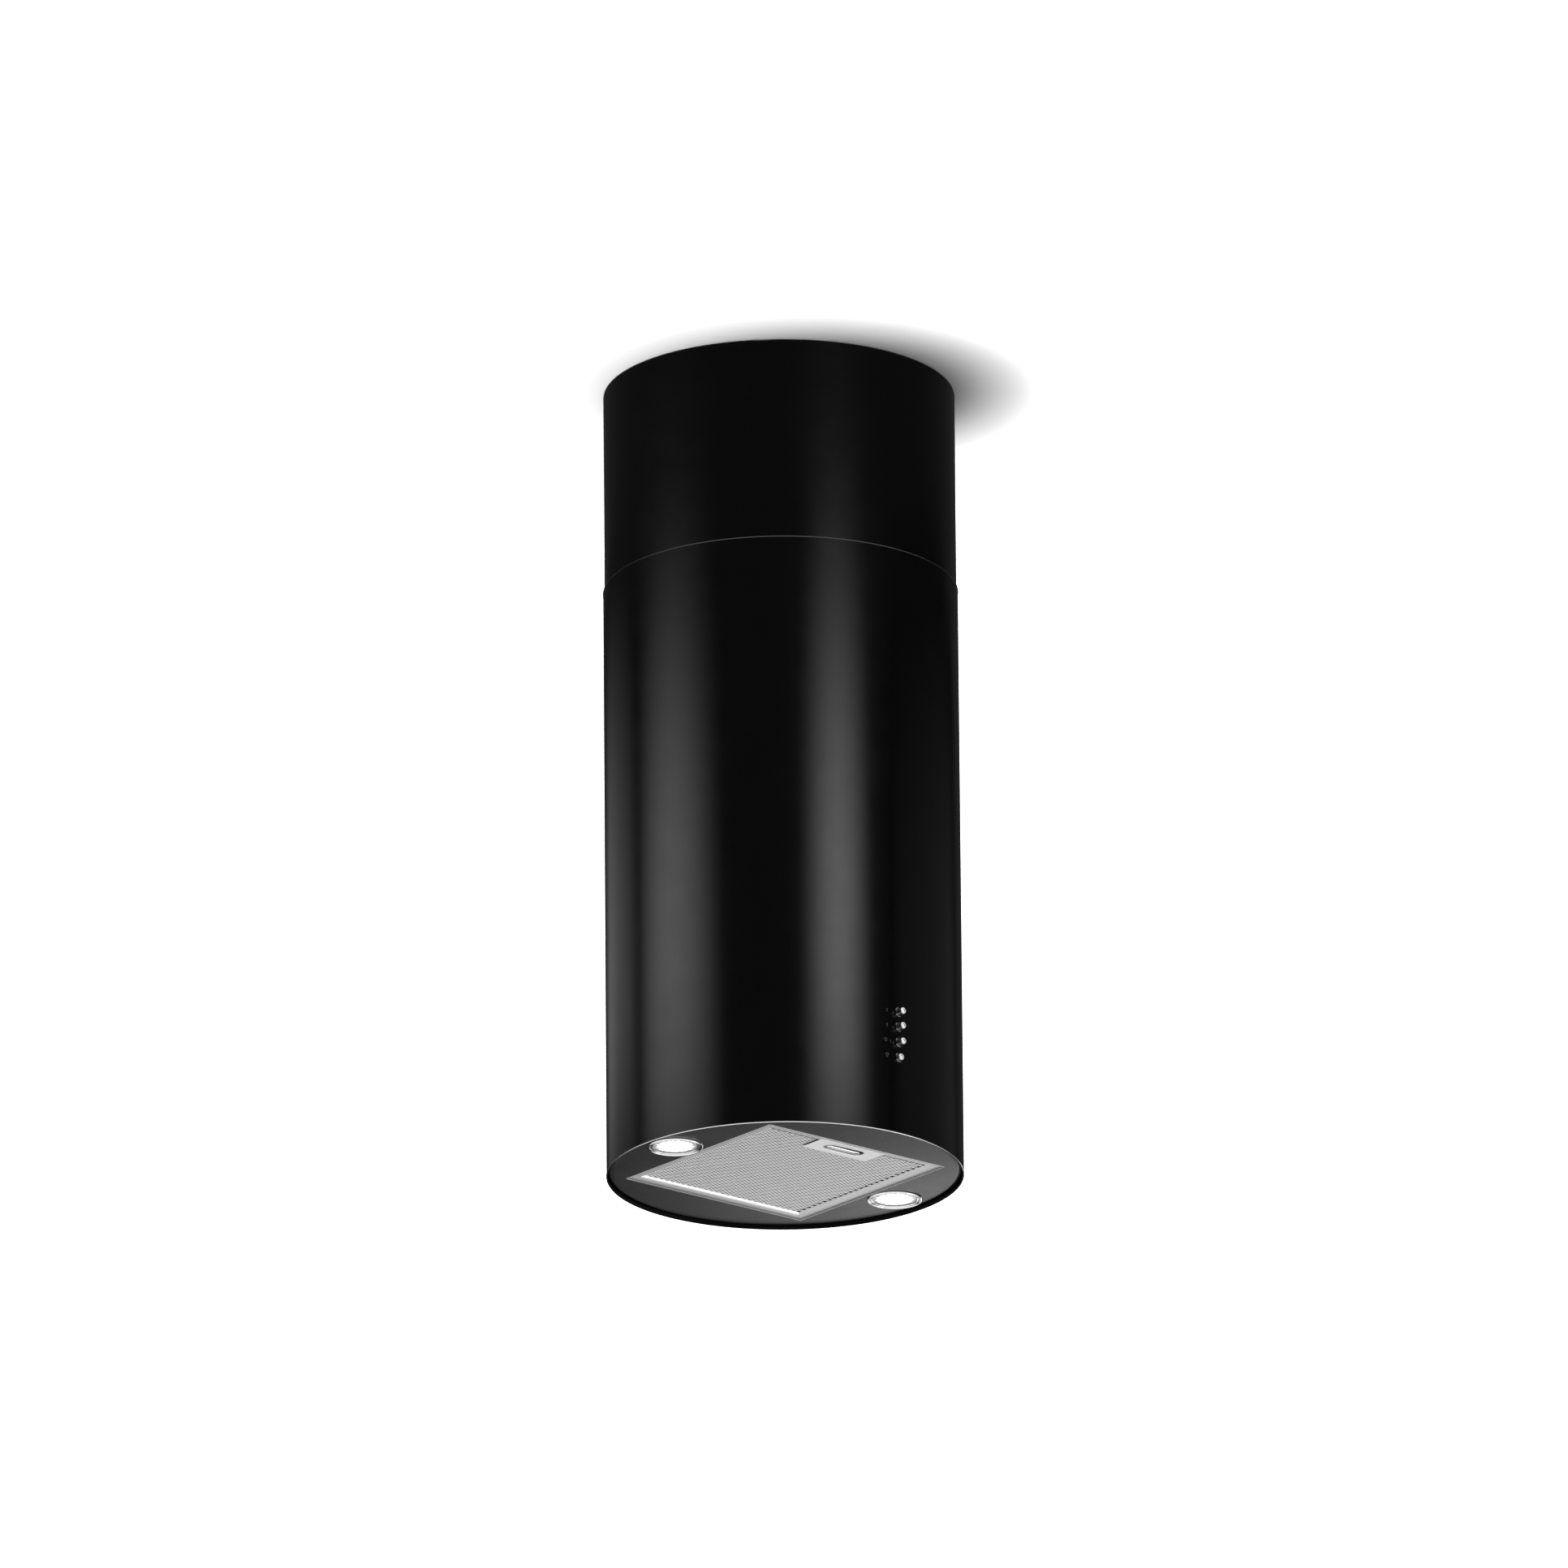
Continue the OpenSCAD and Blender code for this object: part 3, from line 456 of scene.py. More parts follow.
# ---------------------------------------------------------------- tube edges
def make_tube_hems():
    """The lower tube's bright rim with its black fold and its dark top edge, and the upper tube's hem."""
    proud = 0.04 * MM
    bead = 1.35 * MM
    swell = 0.41 * MM
    outer = TUBE_R + swell
    low = RIM_Z - swell
    rim = ([(outer - 0.7 * MM, low + bead + 0.3 * MM), (outer - 0.15 * MM, low + bead + 0.15 * MM)]
           + arc(outer - bead, low + bead, bead, 0, -62, 8) + [(outer - bead, low + bead)])
    build("lower_rim_edge", *lathe(rim, 256), BRIGHT_EDGE, "hood_body", "bright_steel")
    turn = math.radians(-61)
    fold = ([(outer - bead * (1 - math.cos(turn)), low + bead * (1 + math.sin(turn)))]
            + arc(outer - bead, low + bead, bead, -62, -90, 4)
            + [(outer - bead - 0.1 * MM, low + 0.1 * MM), (outer - bead - 0.1 * MM, low + 5 * MM),
               (outer - bead + 0.1 * MM, low + 5 * MM)])
    build("lower_rim_fold", *lathe(fold, 256), BLACK_GLOSS, "hood_body", "black_paint")
    bead = 1.15 * MM
    swell = 0.35 * MM
    outer = TUBE_R + swell
    high = SEAM_Z + swell
    top = ([(outer - 0.6 * MM, high - bead - 0.3 * MM), (outer - 0.1 * MM, high - bead - 0.15 * MM)]
           + arc(outer - bead, high - bead, bead, 0, 90, 10)
           + [(UPPER_R + 0.15 * MM, high), (UPPER_R + 0.15 * MM, SEAM_Z - 1 * MM),
              (outer - bead, SEAM_Z - 1 * MM)])
    build("lower_tube_top_edge", *lathe(top, 256), DARK_EDGE, "hood_body", "black_paint")
    edge = 0.42 * MM
    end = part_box("upper_tube")[0].z
    over = UPPER_R + proud
    last = arc(over - edge, end - proud, edge, 0, -180, 8)
    tail = [(over, end + 2 * MM)] + last + [(over - 2 * edge, end + 2 * MM)]
    build("upper_tube_hem", *lathe(tail, 256), BLACK_GLOSS, "ceiling_mount", "black_paint")


# ---------------------------------------------------------------- bottom panel
def make_panel():
    """The pressed panel: a disc with a lipped square opening, two lamp holes and four studs, and a trim."""
    thick = 1 * MM
    big = 8 * MM
    low = PANEL_Z
    high = low + thick
    flange = low + 12.5 * MM
    start = PANEL_R - big - 1 * MM
    steps = 192
    edge = ([(start, low)] + arc(PANEL_R - big, low + big, big, -90, 0, 14)
            + [(PANEL_R, flange), (PANEL_R - thick, flange)]
            + arc(PANEL_R - big, low + big, big - thick, 0, -90, 10) + [(start, high)])
    rim = lathe(edge, steps, closed=False)

    fold = 1.4 * MM
    flat = PANEL_LIP + fold
    lip_top = low + 11 * MM
    inner_fold = fold - thick
    corner = PANEL_LIP - 1 * MM
    sections = ([(flat + 1 * MM, low)] + arc(flat, low + fold, fold, -90, -180, 5)
                + [(PANEL_LIP, lip_top), (PANEL_LIP + thick, lip_top)]
                + arc(flat, low + fold, inner_fold, -180, -90, 3) + [(flat + 1 * MM, high)])
    rings = [rounded_box_ring(d, d, d - corner, z) for d, z in sections]
    lips = loft(rings, caps=False)

    lamp_r = 30 * MM
    circle = [Vector((x, y, 0)) for x, y in arc(0, 0, start, 0, 360, steps)[:-1]]
    square = [Vector((x, y, 0)) for x, y, z in rings[0]]
    loops = [circle, square]
    walls = []
    for side in LAMP_SIDES.values():
        hole = [(x, y) for x, y in arc(side * lamp_at.x, 0, lamp_r, 0, 360, 64)[:-1]]
        loops.append([Vector((x, y, 0)) for x, y in hole])
        walls.append(loft([[(x, y, low) for x, y in hole], [(x, y, high) for x, y in hole]],
                          caps=False))
    points = [p for loop in loops for p in loop]
    flats = tessellate_polygon(loops)
    faces = [([(p.x, p.y, z) for p in points], list(flats)) for z in (low, high)]

    studs = []
    crest = 2 * MM
    root = 1.75 * MM
    pitch = 0.7 * MM
    shank = 4 * MM
    thread = int((panel_high.z - high - shank - 1 * MM) / pitch)
    for x in (-80 * MM, 80 * MM):
        for y in (-170 * MM, 170 * MM):
            profile = [(0, high), (crest, high), (crest, high + shank)]
            for turn in range(thread):
                z = high + shank + turn * pitch
                profile += [(root, z + pitch / 2), (crest, z + pitch)]
            profile += [(1.3 * MM, panel_high.z), (0, panel_high.z)]
            studs.append(lathe(profile, 16, closed=False, centre=(x, y)))
    build("bottom_panel_skin", *join_lists(rim, lips, *faces, *walls, *studs), PANEL_SATIN,
          "hood_body", "grey_paint", ["bottom_panel"])

    trim = [(1.5, 0.1), (0.8, -0.22), (0.2, -0.1), (-0.1, 0.4), (-0.1, 2.6), (0.3, 2.6), (0.9, 0.9),
            (1.5, 0.1)]
    rings = [rounded_box_ring(PANEL_LIP + d * MM, PANEL_LIP + d * MM, (1 + d) * MM, low + z * MM)
             for d, z in trim]
    build("opening_trim", *loft(rings, caps=False), ALUMINIUM, "hood_body", "aluminium")


# ---------------------------------------------------------------- filter
def make_border():
    """Four mitred rails of bent sheet, with a slope down to the field, and the two rear hooks."""
    wall = 0.8 * MM
    low = FILTER_Z
    top = low + 9.5 * MM
    gap = 0.2 * MM
    slope, rise = RAIL_SLOPE, RAIL_RISE
    bend = 0.5 * MM
    strip = 2.2 * MM
    outer, inner = FILTER_HALF, FIELD_HALF
    groove = [(outer - strip, low), (outer - strip - 0.1 * MM, low + 1.0 * MM),
              (outer - strip - 0.7 * MM, low + 1.0 * MM), (outer - strip - 0.9 * MM, low)]
    section = ([(outer, top)] + arc(outer - bend, low + bend, bend, 0, -90, 4) + groove
               + [(inner + slope + 0.3 * MM, low), (inner + slope - 0.2 * MM, low + 0.15 * MM),
                  (inner + 0.3 * MM, low + rise), (inner, low + rise + 0.25 * MM),
                  (inner, low + rise + wall), (inner + slope - 0.3 * MM, low + wall),
                  (outer - strip - 1.6 * MM, low + wall), (outer - strip - 1.6 * MM, low + 1.9 * MM),
                  (outer - wall, low + 1.9 * MM), (outer - wall, top - wall), (inner, top - wall),
                  (inner, top)])
    rails = []
    for quarter in range(4):
        turn = Matrix.Rotation(quarter * math.pi / 2, 3, "Z")
        ends = [[tuple(turn @ Vector((d, way * (d - gap), z))) for d, z in section]
                for way in (-1, 1)]
        rails.append(loft(ends))
    hooks = []
    for x in (-80 * MM, 80 * MM):
        half = 10 * MM
        back = FILTER_HALF + 8 * MM
        mid = FILTER_HALF - 5 * MM
        profile = [(mid, top), (mid, top + 1.4 * MM), (back - 0.8 * MM, top + 1.4 * MM),
                   (back, top + 1.0 * MM), (back - 0.4 * MM, top + 0.6 * MM),
                   (FILTER_HALF + 0.6 * MM, top + 0.6 * MM), (FILTER_HALF, top)]
        hooks.append(loft([[(x + side * half, y, z) for y, z in profile] for side in (-1, 1)]))
    border = build("filter_border", *join_lists(*rails, *hooks), ALUMINIUM, "filter", "aluminium",
                   ["filter_frame"])
    slot_half = 16 * MM
    cutter_at = Vector((0, -FILTER_HALF, low + 5.3 * MM))
    cut_slot(border, cutter_at, Vector((slot_half, 1.4 * MM, 2.3 * MM)))


def cut_slot(piece, middle, half):
    """Cuts a block out of a piece for good."""
    verts, faces = loft([[(middle.x + sx * half.x, middle.y + sy * half.y, middle.z + sz * half.z)
                          for sx, sy in ((-1, -1), (1, -1), (1, 1), (-1, 1))] for sz in (-1, 1)])
    mesh = bpy.data.meshes.new("cutter")
    mesh.from_pydata(verts, [], faces)
    cutter = bpy.data.objects.new("cutter", mesh)
    bpy.context.scene.collection.objects.link(cutter)
    modifier = piece.modifiers.new("slot", "BOOLEAN")
    modifier.object = cutter
    modifier.solver = "EXACT"
    modifier.use_self = True
    bpy.context.view_layer.update()
    graph = bpy.context.evaluated_depsgraph_get()
    cut = bpy.data.meshes.new_from_object(piece.evaluated_get(graph))
    piece.modifiers.clear()
    piece.data = cut
    bpy.data.objects.remove(cutter)


def make_expanded_face(name, front, back, notched_beyond, open_share, replaces=()):
    """An expanded sheet: staggered six-sided openings between strands that are ridged in front.

    Beyond x = notched_beyond only every second cell is there, for the dark seam beside the +X rail, where
    the near-black layers behind show as painted shade."""
    pitch_x = 4.3 * MM
    pitch_y = 4.9 * MM
    reach = FIELD_HALF + 1.2 * MM
    twist = 0.16 * MM
    hexagon = [(2 / 3, 0), (1 / 3, 0.5), (-1 / 3, 0.5), (-2 / 3, 0), (-1 / 3, -0.5), (1 / 3, -0.5)]
    rows = int(reach / pitch_x)
    keep_x = plate_high.x - 1.5 * MM
    keep_y = plate_high.y - 1.5 * MM
    verts, faces, shared, used = [], [], {}, {}

    def corner(x, y):
        key = (round(x / pitch_x * 6), round(y / pitch_y * 4))
        if key not in shared:
            shared[key] = len(verts)
            verts.append((x, y, front))
            verts.append((x, y, back))
        return shared[key]

    for i in range(-rows, rows + 1):
        for j in range(-rows, rows + 1):
            cx = i * pitch_x
            cy = (j + 0.5 * (i % 2)) * pitch_y
            notch = cx > notched_beyond and j % 2
            beside_rail = cx > FIELD_HALF - 3.4 * MM or abs(cy) > reach - pitch_y / 2
            if notch or beside_rail or (abs(cx) < keep_x and cy < keep_y):
                continue
            outer = [corner(cx + hx * pitch_x, cy + hy * pitch_y) for hx, hy in hexagon]
            inner = []
            for hx, hy in hexagon:
                inner.append(len(verts))
                lift = twist if hx > 0 else -twist
                verts.append((cx + hx * pitch_x * open_share, cy + hy * pitch_y * open_share,
                              (front + back) / 2 + lift))
            for k in range(6):
                n = (k + 1) % 6
                faces.append((outer[k], outer[n], inner[n], inner[k]))
                faces.append((outer[k] + 1, inner[k], inner[n], outer[n] + 1))
                pair = frozenset((outer[k], outer[n]))
                used[pair] = used.get(pair, 0) + 1
    for pair, times in used.items():
        if times == 1:
            a, b = sorted(pair)
            faces.append((a, b, b + 1, a + 1))
    build(name, verts, faces, EXPANDED, "filter", "aluminium", replaces, smooth=80)


def make_expanded_faces():
    """The sheet that shows from below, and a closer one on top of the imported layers."""
    make_expanded_face("filter_expanded_face", FILTER_Z + 1.6 * MM, FILTER_Z + 2.2 * MM,
                       FIELD_HALF - 7.7 * MM, 0.74, ["filter_mesh"])
    make_expanded_face("filter_top_face", FILTER_Z + 8.9 * MM, FILTER_Z + 8.3 * MM, FILTER_HALF, 0.6)


def make_layers():
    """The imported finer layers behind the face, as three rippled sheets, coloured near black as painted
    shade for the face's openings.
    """
    reach = FILTER_HALF - 1.2 * MM
    ripple = 0.25 * MM
    sheet = 0.35 * MM
    cells = 120
    pocket_x = 47 * MM
    pocket_y = -93 * MM
    shapes = []
    for layer, height in enumerate((4.6 * MM, 6.0 * MM, 7.4 * MM)):
        base = FILTER_Z + height
        verts, faces = [], []
        across = [reach * (2 * i / cells - 1) for i in range(cells + 1)]
        for side in (0, 1):
            for i, x in enumerate(across):
                for j, y in enumerate(across):
                    wave = math.sin(i * 2.1 + layer) * math.sin(j * 2.1 + i * 0.7 + layer)
                    verts.append((x, y, base + ripple * wave + side * sheet))
        row = cells + 1
        plane = row * row

        def in_pocket(i, j):
            """Whether a cell of the sheet lies where the handle's cup goes through."""
            middle_x = (across[i] + across[i + 1]) / 2
            middle_y = (across[j] + across[j + 1]) / 2
            return abs(middle_x) < pocket_x and middle_y < pocket_y

        kept = {(i, j) for i in range(cells) for j in range(cells) if not in_pocket(i, j)}
        for i, j in sorted(kept):
            a = i * row + j
            quad = (a, a + row, a + row + 1, a + 1)
            faces.append(quad)
            faces.append(tuple(v + plane for v in reversed(quad)))
            for (di, dj), (p, q) in {(0, -1): (a, a + row), (1, 0): (a + row, a + row + 1),
                                     (0, 1): (a + row + 1, a + 1), (-1, 0): (a + 1, a)}.items():
                if (i + di, j + dj) not in kept:
                    faces.append((p, q, q + plane, p + plane))
        shapes.append((verts, faces))
    build("filter_layers", *join_lists(*shapes), LAYER_PAINTED_SHADE, "filter", "aluminium", smooth=80)


def stadium_ring(half_length, radius, z, centre_y, steps=16):
    """A slot shape along X, round at both ends, at height z."""
    flat = half_length - radius
    points = arc(flat, centre_y, radius, -90, 90, steps) + arc(-flat, centre_y, radius, 90, 270, steps)
    return [(x, y, z) for x, y in points]


def make_latch():
    """The handle plate with its round-lipped window and cup, and the grooved finger bar and tongue."""
    half_w = plate_high.x
    mid_y = (plate_low.y + plate_high.y) / 2
    half_d = (plate_high.y - plate_low.y) / 2
    face = plate_low.z
    back = FILTER_Z
    edge = 0.35 * MM
    lip = 1.1 * MM
    cup_top = FILTER_Z + 7.5 * MM
    window = (29 * MM, 8.5 * MM)
    steps = 16
    cup = [stadium_ring(window[0] + lip, window[1] + lip, face, mid_y, steps)]
    for r, z in arc(lip, face + lip, lip, -90, -180, 5)[1:]:
        cup.append(stadium_ring(window[0] + r, window[1] + r, z, mid_y, steps))
    cup.append(stadium_ring(window[0], window[1], cup_top - 1.8 * MM, mid_y, steps))
    cup.append(stadium_ring(window[0] - 1 * MM, window[1] - 1 * MM, cup_top - 0.8 * MM, mid_y, steps))
    floor = stadium_ring(window[0] - 1 * MM, window[1] - 1 * MM, cup_top, mid_y, steps)
    shell = [stadium_ring(window[0] + 0.8 * MM, window[1] + 0.8 * MM, cup_top, mid_y, steps),
             stadium_ring(window[0] + 0.8 * MM, window[1] + 0.8 * MM, back, mid_y, steps)]
    inside = loft(cup, caps=False)
    outside = loft(shell, caps=False)
    count = len(cup[0])
    end = (len(cup) - 1) * count
    inside[1].append(tuple(end + i for i in range(count)))
    outside[1].append(tuple(range(count)))
    plan = rounded_box_ring(half_w - edge, half_d - edge, 0.6 * MM, face, (0, mid_y))
    sides = [plan] + [rounded_box_ring(half_w - edge + r, half_d - edge + r, 0.6 * MM + r, z, (0, mid_y))
                      for r, z in arc(0, face + edge, edge, -90, 0, 3)[1:]]
    sides.append(rounded_box_ring(half_w, half_d, 0.6 * MM + edge, back, (0, mid_y)))
    rim = loft(sides, caps=False)
    plates = []
    for outline, hole, z in ((plan, cup[0], face), (sides[-1], shell[1], back)):
        loops = [[Vector((x, y, 0)) for x, y, _ in outline], [Vector((x, y, 0)) for x, y, _ in hole]]
        flats = tessellate_polygon(loops)
        plates.append(([(p.x, p.y, z) for loop in loops for p in loop], list(flats)))
    plate = build("filter_handle_plate", *join_lists(inside, outside, rim, *plates), HANDLE_PAINTED_SHADE, "filter",
                  "aluminium", ["latch_plate"])
    cut_slot(plate, Vector((0, mid_y - 9.2 * MM, FILTER_Z + 5.15 * MM)),
             Vector((15.5 * MM, 2.4 * MM, 1.55 * MM)))

    bar_y = mid_y + 1 * MM
    half_l, radius = 25 * MM, 4 * MM
    low, high = bar_low.z, bar_low.z + 5.6 * MM
    rings = []
    crest = 1.1 * MM
    for inset, z in ((1.9 * MM, 2.2 * MM), (1.55 * MM, 2.0 * MM), (1.4 * MM, 0.15 * MM)):
        rings.append(stadium_ring(half_l - inset, radius - inset, low + z, bar_y, steps))
    for i in range(9):
        turn = math.radians(90 * i / 8)
        inset = crest * (1 - math.sin(turn))
        rings.append(stadium_ring(half_l - inset, radius - inset, low + crest * (1 - math.cos(turn)),
                                  bar_y, steps))
    rings.append(stadium_ring(half_l, radius, high, bar_y, steps))
    tongue_low = FILTER_Z + 4 * MM
    tongue_high = FILTER_Z + 6.6 * MM
    front = bar_low.y
    rear = bar_y + 2.5 * MM
    profile = [(front, tongue_low + 1.6 * MM), (front + 2.4 * MM, tongue_low), (rear, tongue_low),
               (rear, tongue_high), (front, tongue_high)]
    tongue = loft([[(x, y, z) for y, z in profile] for x in (-15 * MM, 15 * MM)])
    build("filter_latch_bar", *join_lists(loft(rings), tongue), CHROME, "filter_latch", "chrome",
          ["filter_latch"])


# ---------------------------------------------------------------- lamps
def make_lamp(name, side):
    """A chrome double ring, a frosted lens that is lit, and a fluted reflector behind it."""
    centre = (side * lamp_at.x, 0)
    z0 = PANEL_Z
    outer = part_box("lamp_bezel_" + name)[1].y
    first = arc(outer - 2.3 * MM, z0 - 0.1 * MM, 2.3 * MM, 0, -180, 14)
    second = arc(outer - 6.2 * MM, z0 + 0.2 * MM, 1.6 * MM, 0, -180, 12)
    ring = ([(outer, z0)] + first + second
            + [(26.1 * MM, z0 + 0.4 * MM), (26.1 * MM, z0 + 10 * MM),
               (27.6 * MM, z0 + 10 * MM), (27.6 * MM, z0)])
    build("lamp_ring_" + name, *lathe(ring, 96, centre=centre), CHROME, "hood_body", "chrome",
          ["lamp_bezel_" + name])
    lens = ([(0, z0 - 0.6 * MM)] + [(25.6 * MM * math.sin(t), z0 + (-0.6 + 1.1 * (1 - math.cos(t))) * MM)
                                    for t in (math.radians(10 * k) for k in range(1, 10))]
            + [(25.9 * MM, z0 + 0.8 * MM), (25.9 * MM, z0 + 1.8 * MM), (0, z0 + 1.8 * MM)])
    glass = lit_lens("lit_lens_" + name, (centre[0], 0, z0))
    build("lamp_glass_" + name, *lathe(lens, 96, closed=False, centre=centre), glass, "hood_body",
          "lamp_glass", ["lamp_lens_" + name])

    flutes = 30
    deep = 0.03

    def flute(angle, r):
        """The reflector's radius with its flutes, which stop before its narrow end."""
        return r * (1 - deep * (0.5 + 0.5 * math.cos(flutes * angle))) if r > 10 * MM else r

    cup = [(25.8, 2.2), (24.0, 7.0), (22.3, 10.6), (20.0, 14.0), (15.5, 18.2), (9.0, 21.0), (0, 21.0),
           (0, 22.0), (9.4, 22.0), (16.2, 19.1), (20.9, 14.8), (23.2, 11.2), (24.9, 7.2), (25.9, 4.4)]
    profile = [(r * MM, z0 + z * MM) for r, z in cup]
    build("lamp_cup_" + name, *lathe(profile, flutes * 6, centre=centre, flute=flute), CHROME,
          "hood_body", "chrome", ["lamp_reflector_" + name])


# ---------------------------------------------------------------- buttons and their printed marks
def make_button(name):
    """A turned pin with a rounded rim and a shallow dish in its end."""
    low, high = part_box(name)
    radius = (high.x - low.x) / 2
    z = (low.z + high.z) / 2
    front, rear = low.y, high.y
    dish = [(0, 0.28), (0.9, 0.27), (1.7, 0.2), (2.3, 0.1), (2.75, 0.02), (3.0, 0.0)]
    profile = [(r * MM, y * MM) for r, y in dish]
    profile += [(radius - 0.7 * MM + x, 0.7 * MM + y)
                for x, y in arc(0, 0, 0.7 * MM, -90, 0, 6)]
    profile += [(radius, rear - front), (0, rear - front)]
    verts, faces = lathe(profile, 48, closed=False)
    place = Matrix.Translation((0, front, z)) @ Matrix.Rotation(-math.pi / 2, 4, "X")
    build(name + "_pin", verts, faces, PIN, name, "chrome", [name], place=place)


def ribbon(points, width):
    """A flat stroke along points, with pointed corners cut by the line halfway between its parts."""
    left, right = [], []
    closed = points[0] == points[-1]
    for i, p in enumerate(points):
        before = points[i - 1] if i else (points[-2] if closed else None)
        after = points[i + 1] if i + 1 < len(points) else (points[1] if closed else None)
        ways = []
        for a, b in ((before, p), (p, after)):
            if a is not None and b is not None:
                step = Vector((b[0] - a[0], b[1] - a[1]))
                if step.length > 1e-9:
                    ways.append(step.normalized())
        way = sum(ways, Vector((0, 0))).normalized()
        side = Vector((-way.y, way.x)) * width / 2
        left.append((p[0] + side.x, p[1] + side.y))
        right.append((p[0] - side.x, p[1] - side.y))
    count = len(points)
    faces = [(i, i + 1, count + i + 1, count + i) for i in range(count - 1)]
    return left + right, faces


def make_mark(name, strokes, s, z, tall=3.6 * MM, width=0.42 * MM):
    """Strokes in a unit square, printed on the tube at arc length s from the buttons' line."""
    ink = 0.03 * MM
    verts, faces = [], []
    for stroke in strokes:
        flat, quads = ribbon([(x * tall, y * tall) for x, y in stroke], width)
        for radius in (TUBE_R + ink, TUBE_R - ink):
            start = len(verts)
            for x, y in flat:
                angle = (s + x) / TUBE_R
                verts.append((radius * math.sin(angle), -radius * math.cos(angle), z + y))
            for quad in quads:
                faces.append(tuple(start + i for i in quad))
        base = len(verts) - len(flat)
        half = len(flat) // 2
        edges = ([(i, i + 1) for i in range(half - 1)] + [(half + i + 1, half + i) for i in range(half - 1)]
                 + [(half, 0), (half - 1, 2 * half - 1)])
        for a, b in edges:
            faces.append((base + a, base + b, base + b - len(flat), base + a - len(flat)))
    build(name, verts, faces, INK, "hood_body", "white_plastic")


def make_marks():
    levels = [(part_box(name)[0].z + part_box(name)[1].z) / 2 for name in BUTTONS]
    light_z, power_z, two_z, three_z = levels
    column = -17.7 * MM
    three = arc(0, 0.25, 0.25, 140, -90, 9) + arc(0, -0.25, 0.25, 90, -140, 9)
    two = arc(0, 0.24, 0.26, 160, -35, 8) + [(-0.26, -0.5), (0.28, -0.5)]
    one = [(-0.16, 0.3), (0.04, 0.5), (0.04, -0.5)]
    ring = arc(0, 0, 0.5, 115, 425, 20)
    stem = [(0, 0.62), (0, 0.12)]
    bulb = arc(0, 0.1, 0.42, -60, 240, 18)
    neck = [(-0.2, -0.28), (-0.2, -0.62), (0.2, -0.62), (0.2, -0.28)]
    rays = [[(0.62 * math.cos(t), 0.1 + 0.62 * math.sin(t)), (0.82 * math.cos(t), 0.1 + 0.82 * math.sin(t))]
            for t in (math.radians(a) for a in (30, 90, 150))]
    make_mark("mark_three", [three], column, three_z)
    make_mark("mark_two", [two], column, two_z)
    make_mark("mark_power", [ring, stem], column - 1.8 * MM, power_z + 0.8 * MM)
    make_mark("mark_one", [one], column + 4.7 * MM, power_z, tall=3.2 * MM)
    make_mark("mark_light", [bulb, neck] + rays, column, light_z + 0.6 * MM)


# ---------------------------------------------------------------- stage and light
def one_sided(name, colour, glow):
    """A matt surface with a glow of its own, seen from the side that its faces point to."""
    material, tree, shader = new_material(name)
    shader.inputs["Base Color"].default_value = (*colour, 1)
    shader.inputs["Roughness"].default_value = 1.0
    shader.inputs["Specular IOR Level"].default_value = 0.0
    shader.inputs["Emission Color"].default_value = (1, 1, 1, 1)
    shader.inputs["Emission Strength"].default_value = glow
    clear = tree.nodes.new("ShaderNodeBsdfTransparent")
    mix = tree.nodes.new("ShaderNodeMixShader")
    side = tree.nodes.new("ShaderNodeNewGeometry")
    tree.links.new(side.outputs["Backfacing"], mix.inputs["Fac"])
    tree.links.new(shader.outputs["BSDF"], mix.inputs[1])
    tree.links.new(clear.outputs["BSDF"], mix.inputs[2])
    tree.links.new(mix.outputs["Shader"], tree.nodes["Material Output"].inputs["Surface"])
    return material


def stage_disc(name, radius, z, up, colour, glow=0.0):
    """A round floor or ceiling that the camera sees, and that throws nothing back at the hood."""
    verts = [(radius * math.cos(TAU * i / 96), radius * math.sin(TAU * i / 96), z) for i in range(96)]
    order = list(range(96)) if up else list(range(95, -1, -1))
    mesh = bpy.data.meshes.new(name)
    mesh.from_pydata(verts, [], [order])
    mesh.materials.append(one_sided(name + "_paint", colour, glow))
    disc = bpy.data.objects.new(name, mesh)
    bpy.context.scene.collection.objects.link(disc)
    disc.visible_diffuse = False
    disc.visible_glossy = False
    disc.visible_transmission = False
    disc.visible_shadow = False
    return disc


def softbox(name, centre, target, width, height, strength, fade_x=(0.3, 0.3), fade_y=(0.3, 0.3)):
    """A glowing panel that faces target, fades towards its edges and is hidden from the camera."""
    material = bpy.data.materials.new(name)
    material.use_nodes = True
    tree = material.node_tree
    tree.nodes.clear()
    coords = tree.nodes.new("ShaderNodeTexCoord")
    parts = tree.nodes.new("ShaderNodeSeparateXYZ")
    tree.links.new(coords.outputs["Generated"], parts.inputs["Vector"])
    value = strength
    for axis, fade in (("X", fade_x), ("Y", fade_y)):
        for start, end in ((0.0, fade[0]), (1.0, 1.0 - fade[1])):
            step = add_node(tree, "ShaderNodeMapRange", From_Min=start, From_Max=end)
            step.interpolation_type = "SMOOTHSTEP"
            tree.links.new(parts.outputs[axis], step.inputs["Value"])
            value = math_node(tree, "MULTIPLY", step.outputs["Result"], value)
    glow = tree.nodes.new("ShaderNodeEmission")
    tree.links.new(value, glow.inputs["Strength"])
    output = tree.nodes.new("ShaderNodeOutputMaterial")
    tree.links.new(glow.outputs["Emission"], output.inputs["Surface"])
    mesh = bpy.data.meshes.new(name)
    w, h = width / 2, height / 2
    mesh.from_pydata([(-w, -h, 0), (w, -h, 0), (w, h, 0), (-w, h, 0)], [], [(0, 1, 2, 3)])
    mesh.materials.append(material)
    box = bpy.data.objects.new(name, mesh)
    bpy.context.scene.collection.objects.link(box)
    box.location = centre
    box.rotation_euler = (Vector(target) - Vector(centre)).to_track_quat("Z", "Y").to_euler()
    box.visible_camera = False
    box.visible_shadow = False


